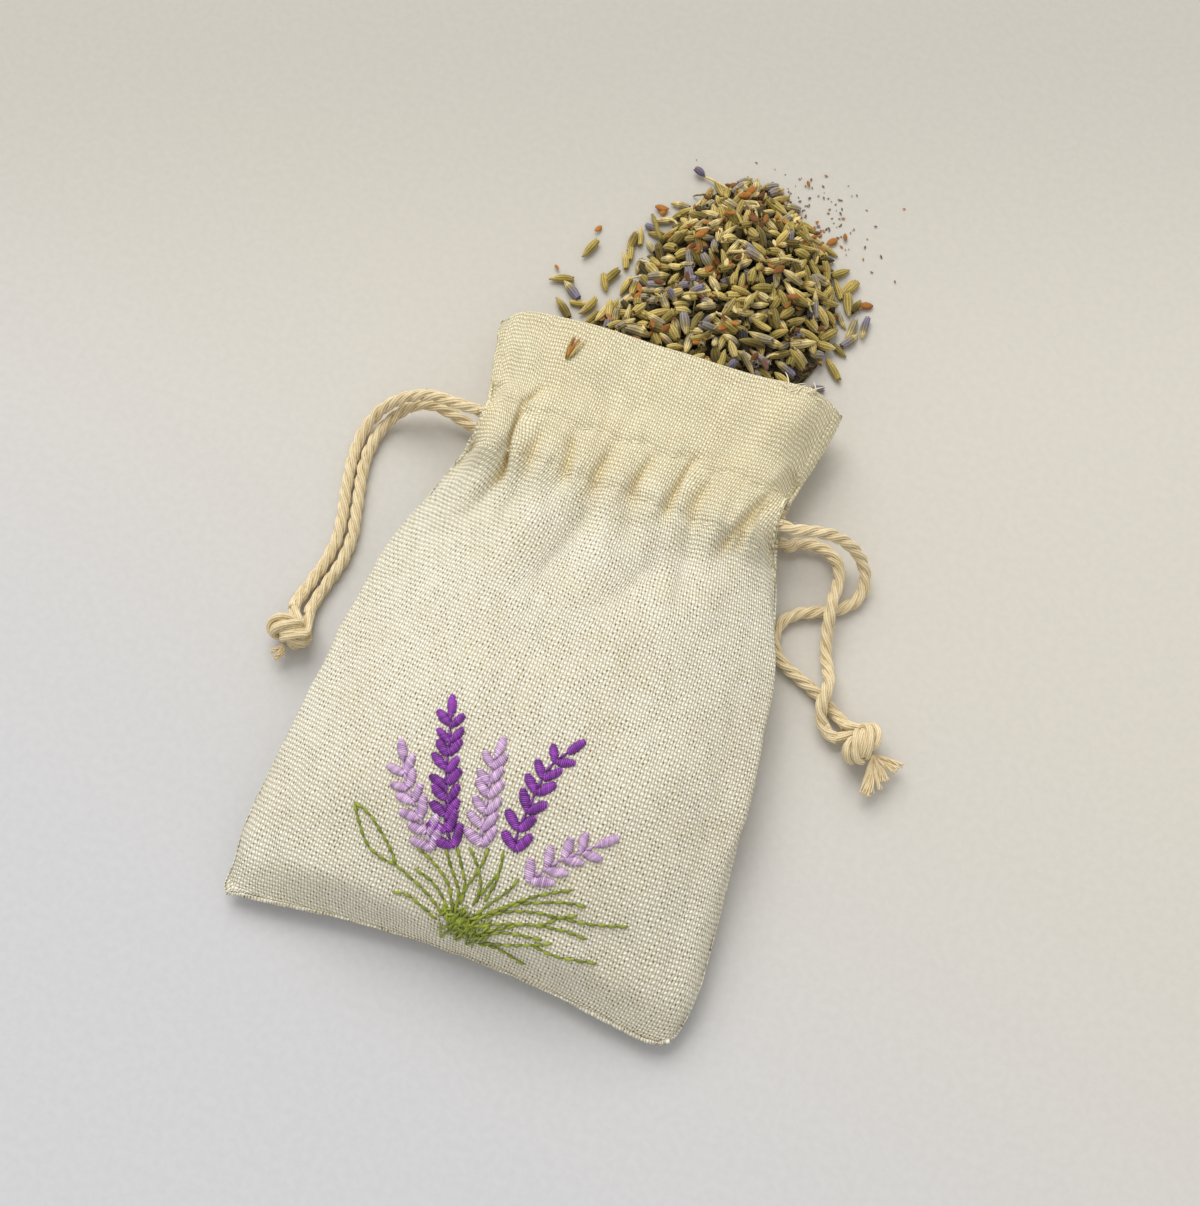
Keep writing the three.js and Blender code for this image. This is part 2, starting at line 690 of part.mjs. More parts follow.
function heap() {
  const rows = [...spread(0, heapLength, 8), heapLength];
  const mound = sheetBetween(10, rows, (across, out) => heapSurface(across, out).setZ(0), heapSurface);
  const lying = [];
  for (let row = 0; row < heapRows; row += 1) {
    for (let column = 0; column < heapColumns; column += 1) {
      const number = row * heapColumns + column;
      const across = (1.9 * (column + 0.5)) / heapColumns - 0.95 + 0.08 * Math.sin(number * 2.3);
      const out = heapLength * ((row + 0.5) / heapRows + 0.03 * Math.cos(number * 3.1));
      const calyx = bud(budLength, budDiameter, 5);
      calyx.rotateX(0.25 * Math.sin(number * 1.7)).rotateZ(number * 2.4);
      lying.push(calyx.translate(...heapSurface(across, out).toArray()));
    }
  }
  return joined([mound, ...lying]);
}

place('spilled_lavender', heap(), driedBud);

// Loose buds: side of the heap, distance past its edge, distance from the mouth and turn in degrees

const looseBuds = [
  [-1, 13, 25, -20, driedBud],
  [-1, 4.9, 19.5, -28, driedBud],
  [-1, 5.2, 30, -5, driedBud],
  [-1, 14.5, 15.5, -72, driedBud],
  [-1, 10.6, 13.4, 55, driedBluish],
  [-1, 10, 8.5, 50, driedBud],
  [1, 3.4, 25, -5, driedBluish],
  [1, 2.5, 31, 20, driedBud],
];
looseBuds.forEach(([side, past, out, turn, finish], i) => {
  const x = heapMiddle(out) + side * (heapHalf(out) + past);
  const calyx = bud(budLength, budDiameter, 6).rotateZ(radians(turn));
  place(`loose_bud_${i + 1}`, calyx.translate(x, mouthY + out, budDiameter / 2), finish);
});

// A brown bit lying on the header

const strayThickness = budDiameter * 0.7;
const strayFromMouth = 8;
const strayAt = onFront(-mouthWidth * 0.29, mouthY - strayFromMouth, fillClearance + strayThickness / 2);
const stray = bud(budLength, strayThickness, 6).rotateZ(radians(-20));
place('bit_on_header', stray.translate(...strayAt.toArray()), driedBrown);

export default part;
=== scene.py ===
import math
import random

import bpy
import numpy as np
from mathutils import Matrix, Vector
from mathutils.bvhtree import BVHTree


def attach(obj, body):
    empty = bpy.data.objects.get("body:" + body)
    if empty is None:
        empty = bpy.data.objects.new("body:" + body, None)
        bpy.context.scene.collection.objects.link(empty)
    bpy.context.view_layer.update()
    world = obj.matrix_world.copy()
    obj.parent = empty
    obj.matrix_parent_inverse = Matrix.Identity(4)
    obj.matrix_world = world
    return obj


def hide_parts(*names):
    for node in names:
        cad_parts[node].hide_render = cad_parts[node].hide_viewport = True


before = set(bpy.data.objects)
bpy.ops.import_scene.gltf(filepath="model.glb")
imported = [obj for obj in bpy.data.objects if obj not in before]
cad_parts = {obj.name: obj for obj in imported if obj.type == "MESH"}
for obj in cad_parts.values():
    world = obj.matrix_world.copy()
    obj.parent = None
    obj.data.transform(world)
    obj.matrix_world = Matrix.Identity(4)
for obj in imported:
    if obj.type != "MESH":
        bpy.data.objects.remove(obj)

mm = 0.001  # lists below are in millimetres, Blender is in metres
scene = bpy.context.scene
scene.view_settings.view_transform = "Standard"
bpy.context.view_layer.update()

# Camera at the photograph's view

cameraView = {
    "azimuth": 19.5,
    "elevation": 72.0,
    "fieldOfView": 40.0,
    "target": (3.6, 18.0, 6.0),
    "distance": 353.75,
}


def makeCamera(view):
    az, el = math.radians(view["azimuth"]), math.radians(view["elevation"])
    back = Vector((math.sin(az) * math.cos(el), -math.cos(az) * math.cos(el), math.sin(el)))
    right = Vector((math.cos(az), math.sin(az), 0))
    data = bpy.data.cameras.new("photoCamera")
    data.sensor_fit = "HORIZONTAL"
    data.angle = math.radians(view["fieldOfView"])
    data.clip_start, data.clip_end = 0.01, 20
    camera = bpy.data.objects.new("photoCamera", data)
    place = (Vector(view["target"]) + back * view["distance"]) * mm
    turned = Matrix((right, back.cross(right), back)).transposed().to_4x4()
    camera.matrix_world = Matrix.Translation(place) @ turned
    scene.collection.objects.link(camera)
    scene.camera = camera


makeCamera(cameraView)
print("camera placed")

# Curves, tubes and meshes


def through(pairs):
    at = np.array([p[0] for p in pairs], float)
    value = np.array([p[1] for p in pairs], float)
    slope = np.zeros(len(pairs))
    slope[1:-1] = (value[2:] - value[:-2]) / (at[2:] - at[:-2])

    def curve(where):
        where = np.clip(np.asarray(where, float), at[0], at[-1])
        i = np.clip(np.searchsorted(at, where, side="right") - 1, 0, len(at) - 2)
        span = at[i + 1] - at[i]
        t = (where - at[i]) / span
        return ((2 * t**3 - 3 * t**2 + 1) * value[i] + (t**3 - 2 * t**2 + t) * span * slope[i]
                + (3 * t**2 - 2 * t**3) * value[i + 1] + (t**3 - t**2) * span * slope[i + 1])
    return curve


def smoothstep(low, high, where):
    t = np.clip((np.asarray(where, float) - low) / (high - low), 0, 1)
    return t * t * (3 - 2 * t)


def lerp(a, b, share):
    return a + (b - a) * share


def smoothPath(points, perSpan=14):
    p = np.asarray(points, float)
    p = np.vstack([2 * p[0] - p[1], p, 2 * p[-1] - p[-2]])
    t = np.linspace(0, 1, perSpan, endpoint=False)[:, None]
    spans = []
    for a, b, c, d in zip(p[:-3], p[1:-2], p[2:-1], p[3:]):
        spans.append(0.5 * (2 * b + (c - a) * t + (2 * a - 5 * b + 4 * c - d) * t**2 + (3 * b - a - 3 * c + d) * t**3))
    return np.vstack(spans + [p[-2:-1]])


def lengthsAlong(points):
    return np.concatenate([[0], np.cumsum(np.linalg.norm(np.diff(points, axis=0), axis=1))])


def evenly(points, step):
    along = lengthsAlong(points)
    count = max(int(round(along[-1] / step)), 2)
    where = np.linspace(0, along[-1], count + 1)
    return np.column_stack([np.interp(where, along, points[:, k]) for k in range(3)])


def unit(vectors):
    return vectors / np.linalg.norm(vectors, axis=-1, keepdims=True)


def framesAlong(points):
    tangents = unit(np.gradient(points, axis=0))
    normal = np.cross(tangents[0], (0.31, 0.17, 0.93))
    normals = np.zeros_like(points)
    for i, tangent in enumerate(tangents):
        normal = normal - tangent * np.dot(normal, tangent)
        normal = normal / np.linalg.norm(normal)
        normals[i] = normal
    return tangents, normals, np.cross(tangents, normals)


def newShape():
    return {"verts": [], "faces": [], "tone": [], "shade": [], "count": 0}


def addRings(shape, rings, tone, shade=1.0, capped=True):
    # rings is an array (ring, point, xyz); tone and shade are one value or one per ring and point
    ringCount, around, _ = rings.shape
    first = shape["count"]
    shape["verts"].append(rings.reshape(-1, 3))
    shape["tone"].append(np.broadcast_to(tone, (ringCount, around)).reshape(-1))
    shape["shade"].append(np.broadcast_to(shade, (ringCount, around)).reshape(-1))
    index = first + np.arange(ringCount * around).reshape(ringCount, around)
    turned = np.roll(index, -1, axis=1)
    quads = np.stack([index[:-1], turned[:-1], turned[1:], index[1:]], axis=-1).reshape(-1, 4)
    shape["faces"].extend(quads.tolist())
    if capped:
        shape["faces"].append(index[0, ::-1].tolist())
        shape["faces"].append(index[-1].tolist())
    shape["count"] += ringCount * around


def addTube(shape, points, radius, sides=6, tone=0.5, flat=1.0, up=None, shade=1.0):
    # radius is one value or one per point; flat squeezes the tube along the direction up
    points = np.asarray(points, float)
    tangents, normals, sideways = framesAlong(points)
    if up is not None:
        sideways = unit(np.cross(np.broadcast_to(up, points.shape), tangents))
        normals = np.cross(tangents, sideways)
    angles = np.arange(sides) * 2 * np.pi / sides
    radius = np.broadcast_to(radius, len(points))[:, None, None]
    rings = points[:, None] + radius * (
        np.cos(angles)[None, :, None] * sideways[:, None] + flat * np.sin(angles)[None, :, None] * normals[:, None])
    addRings(shape, rings, tone, np.reshape(np.broadcast_to(shade, len(points)), (-1, 1)))


def meshFrom(name, verts, faces, material, uv=None, **values):
    mesh = bpy.data.meshes.new(name)
    mesh.from_pydata((np.asarray(verts, float) * mm).tolist(), [], faces)
    mesh.polygons.foreach_set("use_smooth", [True] * len(mesh.polygons))
    if uv is not None:
        corners = np.zeros(len(mesh.loops), np.int32)
        mesh.loops.foreach_get("vertex_index", corners)
        layer = mesh.uv_layers.new(name="threads")
        layer.data.foreach_set("uv", np.asarray(uv, np.float32)[corners].ravel())
    for label, value in values.items():
        attribute = mesh.attributes.new(label, "FLOAT", "POINT")
        attribute.data.foreach_set("value", np.asarray(value, np.float32))
    mesh.materials.append(material)
    piece = bpy.data.objects.new(name, mesh)
    scene.collection.objects.link(piece)
    return piece


def finishShape(shape, name, material):
    return meshFrom(name, np.vstack(shape["verts"]), shape["faces"], material,
                    tone=np.concatenate(shape["tone"]), shade=np.concatenate(shape["shade"]))


def dress(piece, body, slotName, *nodes):
    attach(piece, body)
    if nodes:
        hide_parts(*nodes)
    return piece


# Shader node helpers


def newGroup(name, inputs, outputs):
    group = bpy.data.node_groups.new(name, "ShaderNodeTree")
    for label, value in inputs:
        kind = "NodeSocketVector" if value is None else "NodeSocketFloat"
        socket = group.interface.new_socket(label, in_out="INPUT", socket_type=kind)
        if value is not None:
            socket.default_value = value
    for label in outputs:
        group.interface.new_socket(label, in_out="OUTPUT", socket_type="NodeSocketFloat")
    return group, group.nodes.new("NodeGroupInput").outputs, group.nodes.new("NodeGroupOutput").inputs


def feed(tree, value, socket):
    if isinstance(value, bpy.types.NodeSocket):
        tree.links.new(value, socket)
    else:
        socket.default_value = value


def calc(tree, operation, *values):
    node = tree.nodes.new("ShaderNodeMath")
    node.operation = operation
    for socket, value in zip(node.inputs, values):
        feed(tree, value, socket)
    return node.outputs[0]


def ranged(tree, value, low, high, toLow=0.0, toHigh=1.0, smooth=True):
    node = tree.nodes.new("ShaderNodeMapRange")
    node.interpolation_type = "SMOOTHSTEP" if smooth else "LINEAR"
    for socket, given in zip(node.inputs, (value, low, high, toLow, toHigh)):
        feed(tree, given, socket)
    return node.outputs[0]


def noisy(tree, vector, scale, detail=2.0, roughness=0.5):
    node = tree.nodes.new("ShaderNodeTexNoise")
    node.inputs["Scale"].default_value = scale
    node.inputs["Detail"].default_value = detail
    node.inputs["Roughness"].default_value = roughness
    tree.links.new(vector, node.inputs["Vector"])
    return node.outputs["Fac"]


def mixed(tree, share, a, b, blend="MIX"):
    node = tree.nodes.new("ShaderNodeMix")
    node.data_type = "RGBA"
    node.blend_type = blend
    feed(tree, share, node.inputs["Factor"])
    for value, socket in ((a, node.inputs[6]), (b, node.inputs[7])):
        feed(tree, (*value, 1.0) if isinstance(value, tuple) else value, socket)
    return node.outputs[2]


def ramped(tree, value, stops):
    node = tree.nodes.new("ShaderNodeValToRGB")
    ramp = node.color_ramp
    while len(ramp.elements) < len(stops):
        ramp.elements.new(0.5)
    for element, (place, colour) in zip(ramp.elements, stops):
        element.position = place
        element.color = (*colour, 1.0)
    tree.links.new(value, node.inputs["Fac"])
    return node.outputs["Color"]


def placeGroup(tree, group, **values):
    node = tree.nodes.new("ShaderNodeGroup")
    node.node_tree = group
    for label, value in values.items():
        feed(tree, value, node.inputs[label])
    return node.outputs


def newMaterial(name, roughness, specular=0.3, sheen=0.0):
    material = bpy.data.materials.new(name)
    material.use_nodes = True
    shader = material.node_tree.nodes["Principled BSDF"]
    shader.inputs["Roughness"].default_value = roughness
    shader.inputs["Specular IOR Level"].default_value = specular
    shader.inputs["Sheen Weight"].default_value = sheen
    shader.inputs["Sheen Roughness"].default_value = 0.5
    return material, material.node_tree, shader


def bumped(tree, shader, height, strength, distance):
    node = tree.nodes.new("ShaderNodeBump")
    node.inputs["Strength"].default_value = strength
    node.inputs["Distance"].default_value = distance * mm
    tree.links.new(height, node.inputs["Height"])
    tree.links.new(node.outputs["Normal"], shader.inputs["Normal"])


def valueOf(tree, label):
    node = tree.nodes.new("ShaderNodeAttribute")
    node.attribute_name = label
    return node.outputs["Fac"]


def objectPlace(tree):
    return tree.nodes.new("ShaderNodeTexCoord").outputs["Object"]


# Plain weave: warp and weft threads that pass over and under, with pinholes at their corners


def makeWeaveGroup():
    inputs = [("Vector", None), ("Warp", 0.66), ("Weft", 0.8)]
    group, given, out = newGroup("plainWeave", inputs, ["Height", "Hole", "Tone"])
    split = group.nodes.new("ShaderNodeSeparateXYZ")
    group.links.new(given["Vector"], split.inputs[0])
    wander = calc(group, "MULTIPLY", calc(group, "SUBTRACT", noisy(group, given["Vector"], 0.22, 2), 0.5), 0.9)
    across = calc(group, "DIVIDE", calc(group, "ADD", split.outputs[0], wander), given["Warp"])
    along = calc(group, "DIVIDE", calc(group, "ADD", split.outputs[1], wander), given["Weft"])
    waveAcross = calc(group, "SINE", calc(group, "MULTIPLY", across, math.pi))
    waveAlong = calc(group, "SINE", calc(group, "MULTIPLY", along, math.pi))
    over = calc(group, "MULTIPLY", waveAcross, waveAlong)
    roundAcross = calc(group, "POWER", calc(group, "ABSOLUTE", waveAcross), 0.4)
    roundAlong = calc(group, "POWER", calc(group, "ABSOLUTE", waveAlong), 0.6)
    warp = calc(group, "MULTIPLY", roundAcross, calc(group, "MULTIPLY_ADD", over, 0.34, 0.48))
    weft = calc(group, "MULTIPLY", roundAlong, calc(group, "MULTIPLY_ADD", over, -0.5, 0.5))
    group.links.new(calc(group, "MAXIMUM", warp, weft), out["Height"])
    corner = calc(group, "MAXIMUM", calc(group, "ABSOLUTE", waveAcross), calc(group, "ABSOLUTE", waveAlong))
    cell = group.nodes.new("ShaderNodeCombineXYZ")
    crossings = [calc(group, "ROUND", line) for line in (across, along)]
    for line, socket in zip(crossings, cell.inputs):
        group.links.new(line, socket)
    second = calc(group, "FLOORED_MODULO", calc(group, "ADD", *crossings), 2.0)  # every second corner gapes
    chance = group.nodes.new("ShaderNodeTexWhiteNoise")
    chance.noise_dimensions = "2D"
    group.links.new(cell.outputs[0], chance.inputs["Vector"])
    region = ranged(group, noisy(group, given["Vector"], 0.3, 4, 0.75), 0.42, 0.62, 0.05, 0.75)
    chanced = calc(group, "SUBTRACT", region, calc(group, "MULTIPLY", chance.outputs["Value"], 0.6))
    open_ = ranged(group, chanced, -0.2, 0.35, 0.16, 1.0)
    open_ = calc(group, "MULTIPLY", open_, calc(group, "MULTIPLY_ADD", second, 0.72, 0.28))
    group.links.new(calc(group, "MULTIPLY", ranged(group, corner, 0.46, 0.88, 1.0, 0.0), open_), out["Hole"])
    tones = []
    for line, other in ((across, along), (along, across)):  # each thread has slubs of its own
        spot = group.nodes.new("ShaderNodeCombineXYZ")
        group.links.new(calc(group, "MULTIPLY", calc(group, "FLOOR", line), 5.3), spot.inputs[0])
        group.links.new(calc(group, "MULTIPLY", other, 0.13), spot.inputs[1])
        tones.append(ranged(group, noisy(group, spot.outputs[0], 1.0, 2), 0.3, 0.7))
    onTop = ranged(group, over, -0.2, 0.2)
    warpTone = calc(group, "MULTIPLY", calc(group, "MULTIPLY", tones[0], 0.5), onTop)
    under = calc(group, "SUBTRACT", 1.0, onTop)
    weftTone = calc(group, "MULTIPLY", calc(group, "MULTIPLY_ADD", tones[1], 0.45, 0.55), under)
    group.links.new(calc(group, "ADD", warpTone, weftTone), out["Tone"])
    return group


weaveGroup = makeWeaveGroup()

linen = {
    "light": (0.915, 0.925, 0.83),
    "dark": (0.765, 0.715, 0.555),
    # painted shade seen through the pinholes, paler where the cloth is doubled
    "pinholeShade": (0.20, 0.145, 0.07),
    "doubledPinholeShade": (0.44, 0.33, 0.15),
    "doubledTint": (0.99, 0.95, 0.81),
    "doubledFrom": 27.0,
    "doubledBlend": 24.0,
    # painted shade in the weave's hollows and painted light on the thread tops, set by thread height
    "sunk": (0.56, 0.49, 0.38),
    "paintedWeaveLight": (1.14, 1.145, 1.155),
    # painted shade: a warm tint laid into the cloth's creases
    "paintedCreaseShade": (1.0, 0.9, 0.7),
    "warp": 0.68,
    "weft": 1.0,
    "holeShare": 0.9,
    "relief": 0.42,
}


def makeLinen(name, vectorFrom):
    material, tree, shader = newMaterial(name, 0.92, 0.12, 0.12)
    vector = vectorFrom(tree)
    weave = placeGroup(tree, weaveGroup, Vector=vector, Warp=linen["warp"], Weft=linen["weft"])
    place = tree.nodes.new("ShaderNodeSeparateXYZ")
    tree.links.new(objectMillimetres(tree), place.inputs[0])
    doubled = ranged(tree, place.outputs[1], linen["doubledFrom"], linen["doubledFrom"] + linen["doubledBlend"])
    soft = ranged(tree, noisy(tree, vector, 0.05, 3), 0.3, 0.7)
    share = calc(tree, "MULTIPLY_ADD", weave["Tone"], 0.85, calc(tree, "MULTIPLY", soft, 0.25))
    cloth = mixed(tree, share, linen["dark"], linen["light"])
    paintedWeaveLight = ranged(tree, weave["Height"], 0.1, 0.85, smooth=False)
    # painted shade in the weave's hollows and painted light on the thread tops, set by thread height
    cloth = mixed(tree, 1.0, cloth, mixed(tree, paintedWeaveLight, linen["sunk"], linen["paintedWeaveLight"]), "MULTIPLY")
    # painted shade: the creases tinted warm by the crease attribute
    cloth = mixed(tree, 1.0, cloth, mixed(tree, valueOf(tree, "crease"), (1.0, 1.0, 1.0), linen["paintedCreaseShade"]), "MULTIPLY")
    cloth = mixed(tree, 1.0, cloth, mixed(tree, doubled, (1.0, 1.0, 1.0), linen["doubledTint"]), "MULTIPLY")
    # pinholes get painted shade, paler where the cloth is doubled
    holes = calc(tree, "MULTIPLY", weave["Hole"], linen["holeShare"])
    pinholeShade = mixed(tree, doubled, linen["pinholeShade"], linen["doubledPinholeShade"])
    feed(tree, mixed(tree, holes, cloth, pinholeShade), shader.inputs["Base Color"])
    bumped(tree, shader, weave["Height"], 1.0, linen["relief"])
    return material


def threadsUv(tree):
    node = tree.nodes.new("ShaderNodeUVMap")
    node.uv_map = "threads"
    return node.outputs["UV"]


def objectMillimetres(tree):
    node = tree.nodes.new("ShaderNodeVectorMath")
    node.operation = "SCALE"
    node.inputs["Scale"].default_value = 1 / mm
    tree.links.new(objectPlace(tree), node.inputs[0])
    return node.outputs[0]


linenCloth = makeLinen("linenCloth", threadsUv)
linenAllowance = makeLinen("linenAllowance", objectMillimetres)


# Fibres: fine streaks that break up yarn and thread


def makeFibreGroup():
    group, given, out = newGroup("fibres", [("Vector", None), ("Scale", 2.5)], ["Shade", "Height"])
    scaled = group.nodes.new("ShaderNodeVectorMath")
    scaled.operation = "SCALE"
    group.links.new(given["Vector"], scaled.inputs[0])
    group.links.new(given["Scale"], scaled.inputs["Scale"])
    fine = noisy(group, scaled.outputs[0], 1.0, 4, 0.65)
    broad = noisy(group, scaled.outputs[0], 0.12, 2)
    group.links.new(calc(group, "MULTIPLY_ADD", fine, 0.6, calc(group, "MULTIPLY", broad, 0.4)), out["Shade"])
    group.links.new(fine, out["Height"])
    return group


fibreGroup = makeFibreGroup()


def makeYarn(name, dark, light, roughness, specular, sheen, scale, strength):
    material, tree, shader = newMaterial(name, roughness, specular, sheen)
    fibre = placeGroup(tree, fibreGroup, Vector=objectMillimetres(tree), Scale=scale)
    shade = ranged(tree, fibre["Shade"], 0.35, 0.65, 0.0, 0.45)
    share = calc(tree, "MULTIPLY_ADD", valueOf(tree, "tone"), 0.6, shade)
    # the shade attribute carries painted shade of grooves and thread ends, with some random thread tone
    colour = mixed(tree, 1.0, mixed(tree, share, dark, light), valueOf(tree, "shade"), "MULTIPLY")
    feed(tree, colour, shader.inputs["Base Color"])
    bumped(tree, shader, fibre["Height"], strength, 0.08)
    return material


cottonCord = makeYarn("cottonCord", (0.52, 0.365, 0.155), (0.90, 0.78, 0.525), 0.85, 0.15, 0.2, 4.0, 0.5)
sewingThread = makeYarn("sewingThread", (0.60, 0.51, 0.32), (0.88, 0.82, 0.65), 0.8, 0.2, 0.1, 4.0, 0.3)
purpleThread = makeYarn("purpleThread", (0.075, 0.003, 0.14), (0.34, 0.06, 0.50), 0.42, 0.5, 0.1, 5.0, 0.25)
lilacThread = makeYarn("lilacThread", (0.33, 0.17, 0.40), (0.80, 0.60, 0.83), 0.42, 0.5, 0.1, 5.0, 0.25)
greenThread = makeYarn("greenThread", (0.085, 0.105, 0.006), (0.33, 0.40, 0.03), 0.45, 0.45, 0.1, 5.0, 0.25)
print("materials ready")

# Drawstrings: routes keep within about 1.5 mm of the solids' own, each strand starting straight out of the casing

string = {
    "diameter": 2.8,
    "plies": 3,
    "pitch": 10.5,
    "yarns": 7,
    "yarnPitch": -18.0,
    "groove": 0.3,
    "fuzz": 1.4,
    "step": 0.45,
    "ringPoints": 36,
    "plyShare": 0.275,
    "bendReach": 3.2,
    "neckHalf": 34.5,
    "tuckedIn": 5.0,
    "casingExit": 35.2,
    "runInner": 10.0,
    "casingY": 47.0,
    "spacing": 3.5,
    "frontZ": 12.8,
    "backZ": 2.6,
}

leftFrontRoute = [
    (-42, 48.9, 12.6), (-47, 49.3, 11), (-52, 48.6, 8.4), (-56.5, 46.4, 5.4), (-59.4, 42.8, 3), (-60.6, 38, 1.8),
    (-60.4, 33, 1.5), (-59.4, 27.5, 1.5), (-57.9, 21.5, 1.5), (-56.6, 15.5, 1.5), (-56.6, 9.5, 1.5), (-57.7, 4, 1.5),
    (-58.7, -0.8, 2), (-58.9, -4.5, 3.1)]
leftBackRoute = [
    (-42, 49.6, 3.2), (-47, 49.9, 4.6), (-51.6, 48.4, 4.2), (-54.9, 45.3, 2.7), (-57.0, 41.2, 1.6), (-57.7, 36, 1.5),
    (-57.2, 31, 1.5), (-56.0, 26, 1.5), (-54.6, 20.5, 1.5), (-53.4, 15.2, 1.5), (-53.4, 9.6, 1.5), (-54.5, 4, 1.5),
    (-55.4, -0.8, 1.5), (-55.6, -4.4, 1.7)]
rightFrontRoute = [
    (43, 46.6, 12.4), (47.5, 47.6, 10.4), (51.8, 47.2, 7.2), (55, 44.9, 4.2), (56.2, 41.4, 2.2), (55.1, 37.8, 1.5),
    (52, 35, 1.5), (48, 33, 1.5), (44, 31, 1.5), (41.4, 27.6, 1.5), (41.6, 23.2, 1.5), (44.4, 19.8, 1.5),
    (48.6, 17.8, 1.5), (53, 15.9, 1.5), (57, 13.6, 1.5), (59.6, 11.9, 1.8), (61.6, 10.6, 2.3)]
rightBackRoute = [
    (39.4, 46.5, 2.5), (43.4, 47.3, 2.3), (46.7, 46.7, 2.3), (49.2, 44.6, 2.7), (50.4, 41.5, 3.4), (50.5, 37.6, 4.5),
    (50.6, 34.6, 4.9), (51.0, 31.6, 4.5), (51.8, 28, 3), (53, 24, 2.2), (54.4, 20.4, 3.4), (55.2, 17, 4.9),
    (55.1, 13.4, 4.8), (55.8, 10.5, 3.4), (57.8, 8.25, 2.5), (60.7, 7.2, 2.3)]


def addRope(shape, path, diameter, seed, pitch=string["pitch"], fuzz=string["fuzz"]):
    # plies lie round the path, and each ply is ridged by its yarns
    rng = random.Random(seed)
    path = evenly(path, string["step"])
    _, normals, sideways = framesAlong(path)
    along = lengthsAlong(path)
    plyRadius = diameter * string["plyShare"]
    centreRadius = diameter / 2 - plyRadius
    angles = np.arange(string["ringPoints"]) * 2 * np.pi / string["ringPoints"]
    for ply in range(string["plies"]):
        turn = -2 * np.pi * (along / pitch + ply / string["plies"])
        turn = turn + 0.12 * np.sin(along / 5.0 + rng.uniform(0, 6))
        radial = np.cos(turn)[:, None] * normals + np.sin(turn)[:, None] * sideways
        slack = centreRadius * (1 + 0.06 * np.sin(along / 3.7 + rng.uniform(0, 6)))
        centre = path + slack[:, None] * radial
        tangents = unit(np.gradient(centre, axis=0))
        side = unit(np.cross(tangents, radial))
        out = np.cross(side, tangents)
        twist = angles[None] + 2 * np.pi * along[:, None] / string["yarnPitch"] + rng.uniform(0, 6)
        ridge = np.abs(np.cos(string["yarns"] / 2 * twist))
        radius = plyRadius * (1 - string["groove"] * (1 - ridge))
        rings = centre[:, None] + radius[..., None] * (
            np.cos(angles)[None, :, None] * out[:, None] + np.sin(angles)[None, :, None] * side[:, None])
        yarnTone = 0.5 + 0.5 * np.sin(np.floor(string["yarns"] * twist / (2 * np.pi) + 0.5) * 2.4 + ply)
        # painted shade: each ply darker on the side turned in towards the other plies
        paintedPlyLight = 0.5 + 0.5 * np.cos(angles)[None]
        tone = 0.2 + 0.25 * yarnTone + 0.55 * paintedPlyLight
        # the shade value darkens the grooves between yarns: painted shade
        addRings(shape, rings, tone, 0.66 + 0.38 * ridge)
    for _ in range(int(along[-1] * fuzz)):  # stray fibres standing off the yarns
        i = rng.randrange(2, len(path) - 2)
        turn = rng.uniform(0, 2 * math.pi)
        out = math.cos(turn) * normals[i] + math.sin(turn) * sideways[i]
        ahead = path[i + 1] - path[i - 1]
        run = ahead * rng.uniform(-1, 1) + np.cross(out, ahead) * rng.uniform(-1, 1)
        lift = np.linspace(0, 1, 5)[:, None]
        start = path[i] + out * diameter * 0.44
        hair = start + run * lift + out * rng.uniform(0.2, 0.6) * np.sin(lift * 2.4)
        addTube(shape, hair, 0.035, 3, 0.9)


def strandY(side):
    return string["casingY"] - side * string["spacing"] / 2


def tailPath(side, z, route):
    start = [(side * x, strandY(side), z) for x in (string["casingExit"], string["casingExit"] + string["diameter"])]
    return smoothPath(start + route)


def makeRope(name, path, body, node, seed):
    shape = newShape()
    addRope(shape, path, string["diameter"], seed)
    return dress(finishShape(shape, name, cottonCord), body, "cotton_cord", node)


def casingRunPath(side, z):
    ends = [(-side * string["runInner"], strandY(side), z), (side * string["casingExit"], strandY(side), z)]
    return np.linspace(ends[0], ends[1], 12)


def returnBendPath(side):
    middle = (string["frontZ"] + string["backZ"]) / 2
    rise = (string["frontZ"] - string["backZ"]) / 2
    legs = np.linspace(string["runInner"] + 0.3, string["neckHalf"] - string["tuckedIn"], 6)
    points = [(-side * x, strandY(side), string["frontZ"]) for x in legs]
    for angle in np.linspace(math.pi / 2, -math.pi / 2, 9):
        reach = legs[-1] + string["diameter"] / 2 + string["bendReach"] * math.cos(angle)
        points.append((-side * reach, strandY(side), middle + rise * math.sin(angle)))
    points += [(-side * x, strandY(side), string["backZ"]) for x in legs[::-1]]
    return smoothPath(points)


# Knots: both strands go twice round the knot's axis and come out as loose yarn ends

knots = {
    "ring": 2.15,
    "tube": 1.75,
    "squash": 0.78,
    "strand": 2.6,
    "apart": 1.2,
    "pitch": 34.0,
    "from": -30,
    "to": 258,
}


def knotStrand(centre, axis, start, offset):
    axis = np.array((math.cos(axis), math.sin(axis), 0.0))
    across = np.cross((0, 0, 1.0), axis)
    t = np.linspace(math.radians(knots["from"]), math.radians(knots["to"]), 90)
    round_, over = 2 * t + start, 3 * t
    radial = np.cos(round_)[:, None] * across + np.sin(round_)[:, None] * np.array((0, 0, 1.0))
    normal = np.cos(over)[:, None] * radial + np.sin(over)[:, None] * axis
    path = knots["ring"] * radial + knots["tube"] * normal
    path = path + offset * np.cross(unit(np.gradient(path, axis=0)), normal)
    path[:, 2] *= knots["squash"]
    return path + np.array(centre)


